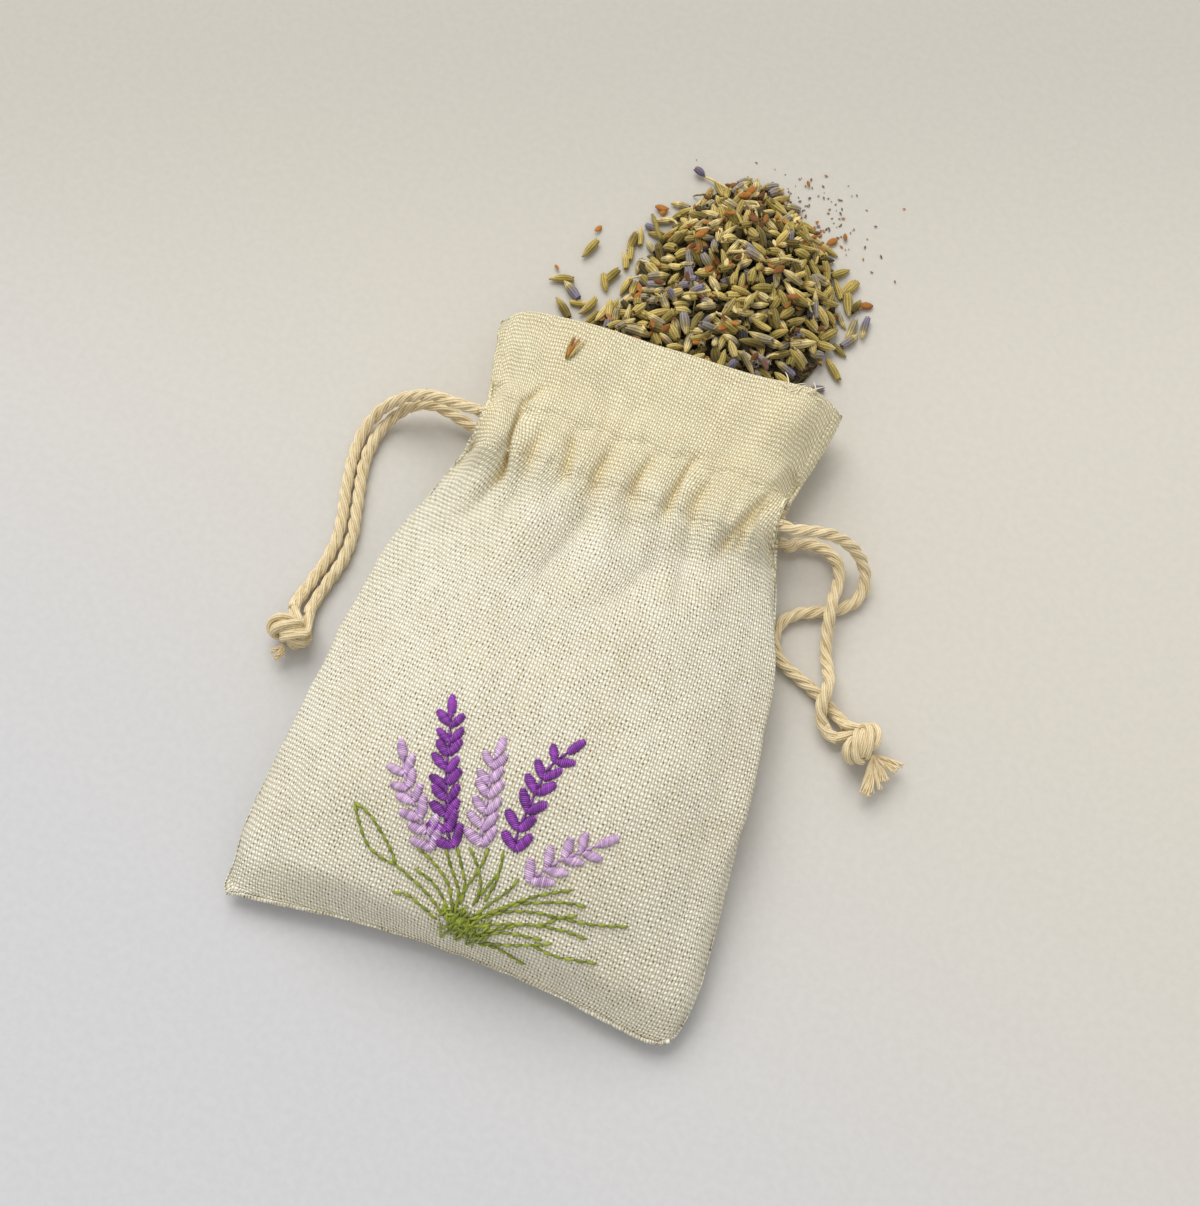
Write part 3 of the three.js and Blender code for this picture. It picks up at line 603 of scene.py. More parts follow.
def makeKnot(name, body, node, tails, centre, axisAngle, start, seed):
    shape = newShape()
    for number, (tail, offset) in enumerate(zip(tails, (knots["apart"], -knots["apart"]))):
        strand = knotStrand(centre, axisAngle, start, offset)
        path = smoothPath(np.vstack([[tail[-20], tail[-4]], strand[4::3]]), 8)
        addRope(shape, path, knots["strand"], seed + number, knots["pitch"])
    return dress(finishShape(shape, name, cottonCord), body, "cotton_cord", node)


def makeYarnEnds(name, body, node, root, ends, seed):
    rng = random.Random(seed)
    shape = newShape()
    for angle, length, height in ends:
        heading = math.radians(angle)
        out = np.array((math.cos(heading), math.sin(heading), 0.0))
        bend = np.array((-out[1], out[0], 0.0)) * rng.uniform(-0.9, 0.9)
        points = [np.array(root) + (0, 0, height)]
        for share in (0.25, 0.5, 0.75, 1.0):
            drop = np.array((0, 0, -height * smoothstep(0, 0.8, share) * 0.9))
            points.append(points[0] + out * length * share + bend * share**2 + drop)
        path = evenly(smoothPath(points), 0.3)
        share = np.linspace(0, 1, len(path))
        _, normals, sideways = framesAlong(path)
        for fibre in range(4):  # each yarn end opens into a few loose plies
            turn = fibre * math.pi / 2 + share * 5 + rng.uniform(0, 1)
            apart = 0.17 + 0.26 * share**2
            centre = path + apart[:, None] * (np.cos(turn)[:, None] * normals + np.sin(turn)[:, None] * sideways)
            addTube(shape, centre, 0.23 * (1 - 0.45 * share**3), 6, 0.55 + rng.uniform(-0.15, 0.25))
    return dress(finishShape(shape, name, cottonCord), body, "cotton_cord", node)


knotPlaces = {
    "left": {"centre": (-57.2, -9.6, 4.5), "axis": -95, "start": 1.2, "root": (-57.4, -12.6, 3.4)},
    "right": {"centre": (65.6, 7.4, 4.5), "axis": -22, "start": 0.6, "root": (68.3, 6.0, 3.4)},
}
leftYarnEnds = [(-120, 3.2, 0.4), (-104, 3.8, -0.4), (-92, 3.4, 0.8), (-80, 3.0, 0.0), (-66, 2.6, 0.5)]
rightYarnEnds = [
    (-88, 8.4, 1.4), (-83, 8.8, 0.2), (-77, 8.4, 1.0), (-70, 8.0, 0.0), (-63, 7.4, 0.6), (-44, 6.0, 1.2),
    (-32, 6.2, 0.2), (-21, 6.0, 0.8), (-8, 6.2, 0.1), (8, 6.8, 0.6)]


def makeString(side, routes, yarnEnds, seed):
    name = "left" if side < 0 else "right"
    body = name + "_drawstring"
    tails = [tailPath(side, z, route) for z, route in zip((string["frontZ"], string["backZ"]), routes)]
    for run, z, tail, number in (("front", string["frontZ"], tails[0], 1), ("back", string["backZ"], tails[1], 2)):
        makeRope(f"{name}String_{run}Run", casingRunPath(side, z), body, f"{name}_string_{run}_run", seed + number)
        makeRope(f"{name}String_{run}Strand", tail, body, f"{name}_string_{run}_tail", seed + number + 2)
    makeRope(f"{name}String_returnBend", returnBendPath(side), "bag", f"{name}_string_return_bend", seed + 5)
    place = knotPlaces[name]
    knot = makeKnot(f"{name}String_knot", body, f"{name}_string_knot", tails, place["centre"],
                    math.radians(place["axis"]), place["start"], seed + 6)
    ends = makeYarnEnds(f"{name}String_yarnEnds", body, f"{name}_string_yarn_ends", place["root"], yarnEnds, seed + 8)


makeString(-1, (leftFrontRoute, leftBackRoute), leftYarnEnds, 20)
makeString(1, (rightFrontRoute, rightBackRoute), rightYarnEnds, 40)
print("drawstrings made")

# The pouch: its outline follows the solids, and its folds are lines and swells placed as in the photograph

pouch = {
    "bottom": -65.0,
    "mouth": 76.0,
    "columns": 168,
    "rows": 168,
    "casingY": 47.0,
    "casingHalf": 5.7,
    "casingBlend": 7.0,
    "casingDepth": 5.2,
    "throatTop": 10.2,
    "cloth": 0.8,
    "hem": 1.7,
    "bow": 4.0,
    "bowReach": 30.0,
    "backFlat": 0.66,
    "backCurl": 14.0,
    "sheetThickness": 0.5,
    "hemGap": 1.25,
    "neckLift": 1.0,
    "neckLiftY": 42.0,
    "bulge": 1.5,
    "bulgeShare": 0.17,
    "bulgeRise": 14.0,
    "lowestOverCord": 15.0,
    "neckLiftReach": 13.0,
    "puckerDepth": 0.8,
    "grooveDepth": 0.5,
    "grooveHalf": 0.9,
    "ripples": (0.3, 0.12),
    "rippleReach": 2.6,
    "bodyDome": 2.4,
    "headerDomes": (3.6, 9.0),
    "cornerLift": 3.0,
    "ear": 1.9,
}
halfWidth = through([(-65, 45.8), (-61.5, 47.8), (-50, 49.5), (8, 44.5), (30, 39.3), (47, 34.5), (76, 39.5)])
seamHeight = through([(-65, 3.4), (-50, 5.6), (47, 7.7), (76, 6)])
crownHeight = through([
    (-65, 4), (-56, 15), (-27, 24), (8, 20.8), (34, 15.6), (47, 14.2), (60, 13.4), (68, 13.1), (76, 11.9)])

# Each pucker: its line down the cloth as (along, across, depth, half width)
frontPuckers = [
    [(61, -23.2, 0.0, 1.6), (56, -24.4, 1.5, 1.0), (52.5, -26.0, 2.8, 0.75), (46.3, -26.3, 4.4, 0.7),
     (41.2, -25.3, 5.0, 0.75), (37.8, -24.8, 3.6, 1.0), (33, -26.0, 2.4, 1.8), (28, -27.4, 2.0, 2.8),
     (20, -30.0, 1.0, 4.0), (10, -33.0, 0.0, 5.0)],
    [(50, -20.6, 0.0, 1.0), (46, -20.2, 1.2, 1.0), (42, -20.4, 1.7, 1.2), (36, -20.2, 1.7, 2.0),
     (30, -20.6, 2.0, 2.8), (24, -21.8, 1.5, 3.8), (14, -25.0, 0.8, 5.0), (5, -28.0, 0.0, 6.0)],
    [(51, -13.4, 0.0, 1.2), (46, -13.0, 1.4, 1.1), (41.2, -12.2, 2.2, 1.3), (37, -12.4, 1.0, 1.8),
     (31, -13.5, 0.0, 2.4)],
    [(51, -4.6, 0.0, 1.0), (46.5, -4.9, 1.3, 1.0), (41.9, -5.4, 2.2, 1.3), (36, -5.2, 1.9, 2.0),
     (30, -5.4, 2.4, 2.8), (24, -6.6, 1.9, 3.8), (14, -10.4, 1.1, 5.0), (3, -14.5, 0.0, 6.0)],
    [(52, 4.4, 0.0, 1.0), (47, 3.8, 1.3, 1.0), (42.3, 3.3, 2.0, 1.2), (37, 4.0, 1.5, 1.9), (32, 4.6, 1.2, 2.4),
     (26, 4.6, 0.0, 3.0)],
    [(56, 14.6, 0.0, 1.6), (51, 12.8, 1.4, 0.9), (46.2, 11.9, 2.0, 0.8), (41.1, 11.2, 2.0, 1.1),
     (37, 11.0, 0.8, 1.6), (32, 11.0, 0.0, 2.2)],
    [(51, 17.6, 0.0, 1.0), (46, 17.0, 1.3, 1.0), (42, 16.4, 2.1, 1.3), (36, 17.2, 1.9, 2.0), (30, 17.8, 2.0, 2.8),
     (24, 18.2, 1.1, 3.6), (14, 18.0, 0.0, 5.0)],
    [(33, 12.5, 0.0, 2.5), (28, 11.8, 1.1, 3.0), (23, 10.6, 1.7, 3.6), (15, 8.0, 1.1, 4.6), (5, 5.0, 0.0, 6.0)],
    [(56, 33.0, 0.0, 1.4), (51, 31.0, 0.9, 1.1), (47.1, 29.4, 2.2, 0.9), (41.9, 27.3, 2.8, 0.9),
     (37.2, 25.2, 2.6, 1.1), (33, 24.4, 1.2, 2.0), (24, 25.0, 0.0, 3.0)],
    [(52, 33.0, 0.0, 1.0), (46.8, 31.1, 1.6, 0.8), (43, 29.4, 2.0, 0.8), (39.4, 27.9, 1.8, 0.9),
     (34, 27.0, 0.8, 1.8), (27, 27.5, 0.0, 3.0)],
    [(54, -33.0, 0.0, 1.4), (47, -32.6, 0.9, 1.2), (40, -32.9, 0.8, 1.8), (30, -34.5, 0.0, 2.4)],
    [(72, -12.0, 0.0, 4.0), (61.4, -10.4, 0.9, 3.2), (56.7, -8.8, 1.1, 2.4), (52.5, -8.0, 0.3, 2.0)],
    [(66, -1.0, 0.0, 3.0), (57, -2.9, 0.8, 2.6), (53, -3.4, 0.4, 2.0)],
    [(74, 22.0, 0.0, 4.0), (61, 20.5, 1.0, 4.0), (55, 19.0, 0.9, 3.0), (52, 18.0, 0.2, 2.0)]]
frontSwells = [  # across, along, height, half width, half length
    (-30.2, 39.0, 1.6, 2.8, 9.0), (-22.9, 42.0, 1.2, 1.9, 7.0), (-16.6, 40.5, 1.0, 2.4, 7.0),
    (-8.8, 41.0, 1.0, 2.0, 7.0), (-1.0, 40.5, 1.2, 2.6, 7.0), (7.8, 40.5, 1.2, 2.2, 7.0),
    (14.2, 42.0, 0.9, 1.4, 6.0), (21.6, 40.5, 1.2, 2.1, 7.0), (25.8, 42.0, 1.0, 1.4, 6.0),
    (-17.0, 26.0, 0.9, 3.4, 7.0), (0.0, 25.0, 1.1, 3.4, 7.0), (24.0, 25.0, 0.9, 4.0, 8.0),
    (-20.0, 22.0, 0.9, 8.0, 12.0), (14.0, 8.0, 0.7, 14.0, 10.0), (-8.0, -8.0, 0.6, 18.0, 7.0),
    (26.0, -20.0, 0.6, 8.0, 16.0), (-30.0, -36.0, 0.7, 10.0, 9.0), (18.0, -56.0, 0.8, 9.0, 5.0),
    (-26.0, -57.0, 0.8, 8.0, 5.0), (25.6, 64.0, 1.0, 2.8, 12.0), (31.5, 70.0, 1.6, 4.5, 9.0),
    (-33.0, 66.0, 0.9, 4.0, 8.0), (5.0, 70.0, 0.7, 8.0, 9.0), (-16.0, 69.0, 0.6, 7.0, 9.0)]
frontLeans = [  # across, along, sideways lean, half width, half length: cloth that laps over a crease
    (-23.6, 47.0, -1.7, 1.6, 8.0), (-28.4, 44.0, 1.2, 1.7, 9.0), (13.8, 46.0, -1.1, 1.2, 6.0),
    (31.0, 44.0, -0.8, 1.0, 6.0), (4.6, 42.5, -0.8, 1.3, 3.0), (-9.8, 41.5, -0.7, 1.3, 3.0)]


def stitchRows(x):
    # the lower row slopes a little, and the upper one runs in scallops
    return 39.8 - 0.05 * x, 51.5 + 0.8 * np.sin(0.62 * x + 0.5)


def casingShare(y):
    return 1 - smoothstep(0, pouch["casingBlend"], np.abs(y - pouch["casingY"]) - pouch["casingHalf"])


def endArch(y):
    # how far each end of the casing stands open, as an arch between the stitch rows
    return np.sqrt(np.maximum(1 - ((y - pouch["casingY"]) / pouch["casingHalf"]) ** 2, 0))


def waves(x, y, seed, size, tall):
    rng = random.Random(seed)
    total = np.zeros(np.broadcast(x, y).shape)
    for _ in range(7):
        heading, phase = rng.uniform(0, math.pi), rng.uniform(0, 6.3)
        long_ = size * rng.uniform(0.7, 1.5)
        total = total + np.sin((x * math.cos(heading) + y * math.sin(heading)) * 2 * math.pi / long_ + phase)
    return tall * total / 3


def creasesAt(x, y, widest=100.0):
    total = np.zeros(np.broadcast(x, y).shape)
    for line in frontPuckers:
        across, depth, wide = (through([(row[0], row[k]) for row in sorted(line)])(y) for k in (1, 2, 3))
        total = total + np.maximum(depth, 0) * np.exp(-((x - across) / wide) ** 2) * smoothstep(1, 2, widest / wide)
    return total


def puckersAt(x, y):
    lift = pouch["neckLift"] * np.exp(-((y - pouch["neckLiftY"]) / pouch["neckLiftReach"]) ** 2)
    lift = lift - pouch["puckerDepth"] * creasesAt(x, y)
    for row, ripple in zip(stitchRows(x), pouch["ripples"]):  # the stitch rows draw the cloth in
        lift = lift - pouch["grooveDepth"] * np.exp(-((y - row) / pouch["grooveHalf"]) ** 2)
        phase = 1.7 * x + 1.6 * np.sin(0.31 * x + row) + 0.9 * np.sin(0.73 * x)
        lift = lift + ripple * np.sin(phase) * np.exp(-((y - row) / pouch["rippleReach"]) ** 2)
    for place, along, tall, wide, long_ in frontSwells:
        lift = lift + tall * np.exp(-((x - place) / wide) ** 2 - ((y - along) / long_) ** 2)
    return lift


def cornerLift(across, y):
    # the right corner of the mouth is turned up
    return pouch["cornerLift"] * smoothstep(0.3, 1.0, across) * smoothstep(56, 74, y)


def frontHeight(across, y):
    x = across * halfWidth(y)
    edge = seamHeight(y)
    power = lerp(pouch["bodyDome"], np.where(across < 0, *pouch["headerDomes"]), smoothstep(30, 70, y))
    dome = np.maximum(1 - np.abs(across) ** power, 0) ** 0.75
    share = casingShare(y)
    inside = lerp(edge + np.maximum(crownHeight(y) - edge, 0) * dome, pouch["throatTop"], share)
    cloth = np.where(y < pouch["casingY"], pouch["cloth"], pouch["hem"]) * np.minimum(1, 5 * (1 - np.abs(across)))
    outside = inside + lerp(cloth, pouch["casingDepth"], share)
    fade = smoothstep(0, 0.16, 1 - np.abs(across))
    outside = outside + fade * (puckersAt(x, y) + waves(x, y, 3, 26, 0.22) + waves(x, y, 4, 9, 0.05))
    overCord = smoothstep(0.5, 0.8, share) * (np.abs(y - pouch["casingY"]) < pouch["casingHalf"] + 1)
    outside = np.maximum(outside, lerp(0.0, pouch["lowestOverCord"], overCord))
    end = smoothstep(0.86, 1.0, np.abs(across)) * smoothstep(0, 0.3, share)
    return lerp(outside, lerp(edge, pouch["lowestOverCord"] - 0.4, endArch(y)), end) + cornerLift(across, y)


def backHeight(across, y):
    side = np.maximum(np.abs(across) - pouch["backFlat"], 0) / (1 - pouch["backFlat"])
    heel = np.maximum(1 - (y - pouch["bottom"]) / pouch["backCurl"], 0)
    lift = 1 - (1 - side**2) * (1 - heel**2)
    low = lerp(seamHeight(y) * lift, 0.6 * side**2, casingShare(y))
    high = lerp(low, lerp(seamHeight(y), 0.6, endArch(y)), smoothstep(0.9, 1.0, np.abs(across)))
    return high + cornerLift(across, y) * side**2


def panelPoints(across, y, z):
    fade = 1 - smoothstep(0, pouch["bowReach"], y - pouch["bottom"])
    corner = np.maximum(np.abs(across) - 0.88, 0) / 0.12
    low = 1 - smoothstep(0, 9, y - pouch["bottom"])
    rounding = np.where(across < 0, 0.0, 2.0) * low - np.where(across < 0, 2.2, 0.6) * smoothstep(68, 76, y)
    ear = pouch["ear"] * np.where(across < 0, low, 0.0) * corner**2
    bowed = y + pouch["bow"] * (1 - across**2) * fade + rounding * corner**2
    return np.stack([across * halfWidth(y) - ear, bowed, z], axis=-1)


def bulged(points, across, y):
    # the stuffed front leans out over the seams, and creases are lapped over
    beside = np.sin(np.pi * np.clip((1 - np.abs(across)) / pouch["bulgeShare"], 0, 1)) * (1 - smoothstep(15, 45, y))
    above = np.sin(np.pi * np.sqrt(np.clip((y - pouch["bottom"]) / pouch["bulgeRise"], 0, 1)))
    points[..., 0] += pouch["bulge"] * np.sign(across) * beside
    points[..., 1] -= pouch["bulge"] * 1.3 * above
    x = across * halfWidth(y)
    for place, along, lean, wide, long_ in frontLeans:
        points[..., 0] += lean * np.exp(-((x - place) / wide) ** 2 - ((y - along) / long_) ** 2)
    return points


acrossList = np.linspace(-1, 1, pouch["columns"] + 1)
rowList = np.linspace(pouch["bottom"], pouch["mouth"], pouch["rows"] + 1)
acrossGrid, rowGrid = np.meshgrid(acrossList, rowList)
frontPoints = bulged(panelPoints(acrossGrid, rowGrid, frontHeight(acrossGrid, rowGrid)), acrossGrid, rowGrid)
backPoints = panelPoints(acrossGrid, rowGrid, backHeight(acrossGrid, rowGrid))


def gridFaces(rows, columns, flip=False):
    index = np.arange(rows * columns).reshape(rows, columns)
    quads = np.stack([index[:-1, :-1], index[:-1, 1:], index[1:, 1:], index[1:, :-1]], axis=-1).reshape(-1, 4)
    return (quads[:, ::-1] if flip else quads).tolist()


def gridNormals(points):
    return unit(np.cross(np.gradient(points, axis=1), np.gradient(points, axis=0)))


# Settling: the sewn pouch is blown up a little as cloth, so that it creases where it has spare width

settling = {
    "frames": 16,
    "sizeUp": 10.0,
    "spare": 0.02,
    "cap": 1.6,
    "inward": 0.5,
    "heldAtMouth": 0.5,
    "heldAtSeams": 0.6,
    "tableGap": 0.002,
    "seamRows": 5,
}
clothSettings = {
    "quality": 6,
    "mass": 0.15,
    "tension_stiffness": 20,
    "compression_stiffness": 12,
    "shear_stiffness": 6,
    "bending_stiffness": 0.35,
    "tension_damping": 12,
    "compression_damping": 12,
    "shear_damping": 8,
    "air_damping": 3,
    "use_pressure": True,
    "uniform_pressure_force": 0.7,
    "shrink_min": -settling["spare"],
    "vertex_group_mass": "held",
    "pin_stiffness": 2.0,
}


def simulated(start, faces, weights):
    # runs the cloth on a larger copy over a table, and gives its points back in millimetres
    mesh = bpy.data.meshes.new("settling")
    mesh.from_pydata((start * mm * settling["sizeUp"]).tolist(), [], faces)
    cloth = bpy.data.objects.new("settling", mesh)
    scene.collection.objects.link(cloth)
    held = cloth.vertex_groups.new(name="held")
    for index, weight in enumerate(weights):
        if weight > 0.02:
            held.add([index], float(weight), "REPLACE")
    ground = bpy.data.meshes.new("ground")
    ground.from_pydata([(-2, -2, 0), (2, -2, 0), (2, 3, 0), (-2, 3, 0)], [], [(0, 1, 2, 3)])
    table = bpy.data.objects.new("ground", ground)
    scene.collection.objects.link(table)
    table.modifiers.new("stop", "COLLISION")
    table.collision.thickness_outer = settling["tableGap"]
    modifier = cloth.modifiers.new("settle", "CLOTH")
    for label, value in clothSettings.items():
        setattr(modifier.settings, label, value)
    modifier.settings.effector_weights.gravity = 0.2
    modifier.collision_settings.use_collision = True
    modifier.collision_settings.distance_min = settling["tableGap"]
    modifier.collision_settings.use_self_collision = False
    for step in range(1, settling["frames"] + 1):
        scene.frame_set(step)
    settled = np.zeros(len(start) * 3, np.float32)
    cloth.evaluated_get(bpy.context.evaluated_depsgraph_get()).data.vertices.foreach_get("co", settled)
    for temporary in (cloth, table):
        data = temporary.data
        bpy.data.objects.remove(temporary)
        bpy.data.meshes.remove(data)
    scene.frame_set(1)
    return settled.reshape(-1, 3) / (mm * settling["sizeUp"])


def limitedMove(move, facing):
    # the filling holds the cloth out, and no point goes further than the cap
    sunk = np.minimum((move * facing).sum(axis=1, keepdims=True) + settling["inward"], 0)
    move = move - facing * sunk
    far = np.linalg.norm(move, axis=1, keepdims=True)
    print(f"pouch settled: points moved {far.mean():.2f} mm on average, {far.max():.2f} mm at most")
    return move * np.minimum(1, settling["cap"] / np.maximum(far, 1e-6))


def settlePouch(front, back):
    rows, columns, _ = front.shape
    sewn = np.zeros((rows, columns), bool)
    sewn[0] = True
    sewn[np.abs(rowList - pouch["casingY"]) >= pouch["casingHalf"], 0] = True
    sewn[np.abs(rowList - pouch["casingY"]) >= pouch["casingHalf"], -1] = True
    frontIndex = np.arange(rows * columns).reshape(rows, columns)
    backIndex = np.where(sewn, frontIndex, frontIndex + rows * columns)
    points = np.vstack([front.reshape(-1, 3), back.reshape(-1, 3)])
    used = np.unique(np.concatenate([frontIndex.ravel(), backIndex.ravel()]))
    packed = np.full(len(points), -1)
    packed[used] = np.arange(len(used))
    faces = packed[np.array(gridFaces(rows, columns))].tolist()
    faces += packed[backIndex.ravel()[np.array(gridFaces(rows, columns, flip=True))]].tolist()
    start = points[used]
    y = np.concatenate([rowGrid.ravel(), rowGrid.ravel()])[used]
    weights = np.maximum(casingShare(y), settling["heldAtMouth"] * smoothstep(70, 76, y))
    weights = np.maximum(weights, np.where(np.isin(used, frontIndex[sewn]), settling["heldAtSeams"], 0.0))
    facing = np.vstack([gridNormals(front).reshape(-1, 3), -gridNormals(back).reshape(-1, 3)])[used]
    move = limitedMove(simulated(start, faces, weights) - start, facing)
    inner = smoothstep(0, settling["seamRows"], np.minimum(np.arange(columns), np.arange(columns)[::-1]))[None, :, None]
    inner = inner * smoothstep(0, settling["seamRows"], np.arange(rows))[:, None, None]
    sheets = []
    for index in (frontIndex, backIndex):
        rough = move[packed[index]]
        even = rough
        for axis in (0, 1, 0, 1):
            even = sum(np.roll(even, k, axis) for k in (-2, -1, 0, 1, 2)) / 5
        even[-3:] = rough[-3:]
        sheet = start[packed[index]] + lerp(rough, even, inner)
        sheet[..., 2] = np.maximum(sheet[..., 2], 0.0)
        sheets.append(sheet)
    return sheets


frontPoints, backPoints = settlePouch(frontPoints, backPoints)


def wrapped(points, sign):
    # adds the turned edges at the casing's ends, and the hem folded down inside the mouth
    normals = gridNormals(points) * sign
    outer = points.copy()
    edge = np.array((0, 0, 0.12 * sign))
    open_ = endArch(rowList)[:, None]
    outer[:, 0] += edge * (1 - open_)
    outer[:, -1] += edge * (1 - open_)
    outer[0] += edge
    lip = []
    roll = (np.minimum(1, 8 * (1 - np.abs(acrossList)) + 0.12) * pouch["hemGap"] / 2)[:, None]
    for angle in (0.35, 0.8, 1.25, 1.7):
        lip.append(outer[-1] + roll * (np.array((0, math.sin(angle), 0)) - normals[-1] * (1 - math.cos(angle))))
    hemRows = [r for r in range(len(rowList) - 1, 0, -1) if rowList[r] > pouch["casingY"] - pouch["casingHalf"] - 4]
    hem = []
    for r in hemRows:
        channel = 1 - smoothstep(pouch["casingHalf"] - 3.4, pouch["casingHalf"], abs(rowList[r] - pouch["casingY"]))
        apart = lerp(pouch["hemGap"], pouch["casingDepth"] - 0.6, channel)
        row = outer[r] - normals[r] * (apart * np.minimum(1, 8 * (1 - np.abs(acrossList)) + 0.12))[:, None]
        side = smoothstep(0.72, 1.0, np.abs(acrossList))
        meet = seamHeight(rowList[r]) + 0.5 * sign
        row[:, 2] = lerp(row[:, 2], meet, side * channel)
        hem.append(row)
    body = np.concatenate([outer, np.array(lip), np.array(hem)])
    turned = np.zeros((len(body), 1))
    turned[:len(rowList)] = open_
    columns = []
    for reach, drop in ((0.5, 0.35), (2.6, 0.9)):
        columns.append(np.concatenate([turned * reach + 0.03, 0 * turned, -sign * turned * drop - sign * 0.02], axis=1))
    mirror = np.array((-1.0, 1, 1))
    left = [body[:, 0] + columns[1], body[:, 0] + columns[0]]
    right = [body[:, -1] + columns[0] * mirror, body[:, -1] + columns[1] * mirror]
    return np.concatenate([np.stack(left, 1), body, np.stack(right, 1)], axis=1)


def threadPlaces(points):
    # thread counts along and across the cut cloth, in millimetres
    stepAcross = np.linalg.norm(np.diff(points, axis=1), axis=2)
    across = np.concatenate([np.zeros((len(points), 1)), np.cumsum(stepAcross, axis=1)], axis=1)
    across = across - across[:, across.shape[1] // 2][:, None]
    widest = across[len(across) // 4]
    across = across * 0.35 + widest[None] * 0.65
    stepAlong = np.linalg.norm(np.diff(points, axis=0), axis=2)
    along = np.concatenate([np.zeros((1, points.shape[1])), np.cumsum(stepAlong, axis=0)])
    along = along * 0.3 + along.mean(axis=1)[:, None] * 0.7
    along = along + 0.14 * np.where(across < 0, across, across - across * np.abs(across) / 90)  # the weft lies askew
    return np.stack([across, along], axis=-1).reshape(-1, 2)


def makePanel(name, points, sign, node):
    grid = wrapped(points, sign)
    rows, columns, _ = grid.shape
    crease = np.zeros((rows, columns))
    if sign > 0:
        # how deep the creases lie, which sets the painted shade tinted into them
        crease[:len(rowList), 2:-2] = np.clip(creasesAt(acrossGrid * halfWidth(rowGrid), rowGrid, 2.4) / 3, 0, 1)
    piece = meshFrom(name, grid.reshape(-1, 3), gridFaces(rows, columns, flip=sign < 0), linenCloth,
                     uv=threadPlaces(grid), crease=crease.ravel())
    smooth = piece.modifiers.new("smooth", "SUBSURF")
    smooth.levels = smooth.render_levels = 1
    solid = piece.modifiers.new("thickness", "SOLIDIFY")
    solid.thickness = pouch["sheetThickness"] * mm
    solid.offset = -1.0
    bpy.context.view_layer.update()
    finished = bpy.data.meshes.new_from_object(piece.evaluated_get(bpy.context.evaluated_depsgraph_get()))
    old = piece.data
    piece.modifiers.clear()
    piece.data = finished
    bpy.data.meshes.remove(old)
    dress(piece, "bag", "linen", node)


makePanel("frontCloth", frontPoints, 1, "front_panel")
makePanel("backCloth", backPoints, -1, "back_panel")


def makeSeam(name, node, path):
    # a folded allowance lying inside along a sewn edge
    shape = newShape()
    addTube(shape, path, 2.4, 10, 0.6, flat=0.25, up=(0, 0, 1))
    dress(finishShape(shape, name, linenAllowance), "bag", "linen", node)


seamY = np.linspace(-51, 33, 30)
for name, node, side in (("leftSeamAllowance", "left_side_seam", -1), ("rightSeamAllowance", "right_side_seam", 1)):
    makeSeam(name, node, np.stack([side * (halfWidth(seamY) - 5.5), seamY, seamHeight(seamY)], axis=-1))
seamX = np.linspace(-0.7, 0.7, 30)
makeSeam("bottomSeamAllowance", "bottom_seam", panelPoints(seamX, np.full(30, pouch["bottom"] + 5.5), np.full(30, 4.2)))


def surfaceOf(points):
    rows, columns, _ = points.shape
    return BVHTree.FromPolygons(points.reshape(-1, 3).tolist(), gridFaces(rows, columns))


frontSurface = surfaceOf(frontPoints)


def onFront(x, y, lift=0.0):
    hit, normal, _, _ = frontSurface.ray_cast(Vector((x, y, 60)), Vector((0, 0, -1)))
    if hit is None:
        hit, normal, _, _ = frontSurface.find_nearest(Vector((x, y, 10)))
    normal = normal if normal.z > 0 else -normal
    return np.array(hit + normal * lift), np.array(normal)


# Stitching: two rows along the casing, and the embroidery laid over the settled cloth

stitching = {
    "length": 2.3,
    "gap": 0.55,
    "thread": 0.19,
    "rowEnd": 32.5,
    "frayed": 16,
}


def addStitch(shape, start, end, radius, tone, lift, sink=0.45):
    share = np.linspace(0, 1, 7)
    points = []
    for s in share:
        x, y = lerp(np.array(start), np.array(end), s)
        points.append(onFront(x, y, lift - sink * abs(2 * s - 1) ** 3)[0])
    # painted shade: each stitch darker towards its ends, where it sinks into the cloth
    swell = np.sin(np.pi * np.clip(share, 0.08, 0.92)) ** 0.7
    addTube(shape, np.array(points), radius * (0.25 + 0.75 * swell), 6, tone, flat=0.85,
            up=onFront(*lerp(np.array(start), np.array(end), 0.5))[1], shade=0.4 + 0.7 * swell)


def makeCasingStitches():
    shape = newShape()
    rng = random.Random(5)
    for row in (0, 1):
        x = -stitching["rowEnd"]
        while x < stitching["rowEnd"]:
            ends = [(place, float(stitchRows(place)[row]) + rng.uniform(-0.1, 0.1))
                    for place in (x, x + stitching["length"])]
            addStitch(shape, *ends, stitching["thread"], rng.uniform(0.5, 0.9), 0.12)
            x += stitching["length"] + stitching["gap"]
    dress(finishShape(shape, "casingStitches", sewingThread), "bag", "linen")


makeCasingStitches()


def makeFrayedThreads():
    shape = newShape()
    rng = random.Random(7)
    for _ in range(stitching["frayed"]):
        x, y = rng.uniform(26.5, 34.5), rng.uniform(73.6, 76.2)
        heading = math.radians(rng.gauss(100, 45))
        length = rng.uniform(1.6, 4.2)
        root = onFront(x, y, 0.1)[0]
        step = np.array((math.cos(heading), math.sin(heading), rng.uniform(0.1, 0.5)))
        curl = np.array((-step[1], step[0], 0.0)) * rng.uniform(-0.5, 0.5)
        sag = curl - np.array((0, 0, 0.5))
        path = [root + step * length * s + sag * length * s * s for s in np.linspace(0, 1, 7)]
        addTube(shape, np.array(path), 0.15 * np.array([1, 1, 0.95, 0.9, 0.85, 0.7, 0.4]), 5, rng.uniform(0.7, 1.0))
    dress(finishShape(shape, "frayedThreads", sewingThread), "bag", "linen")


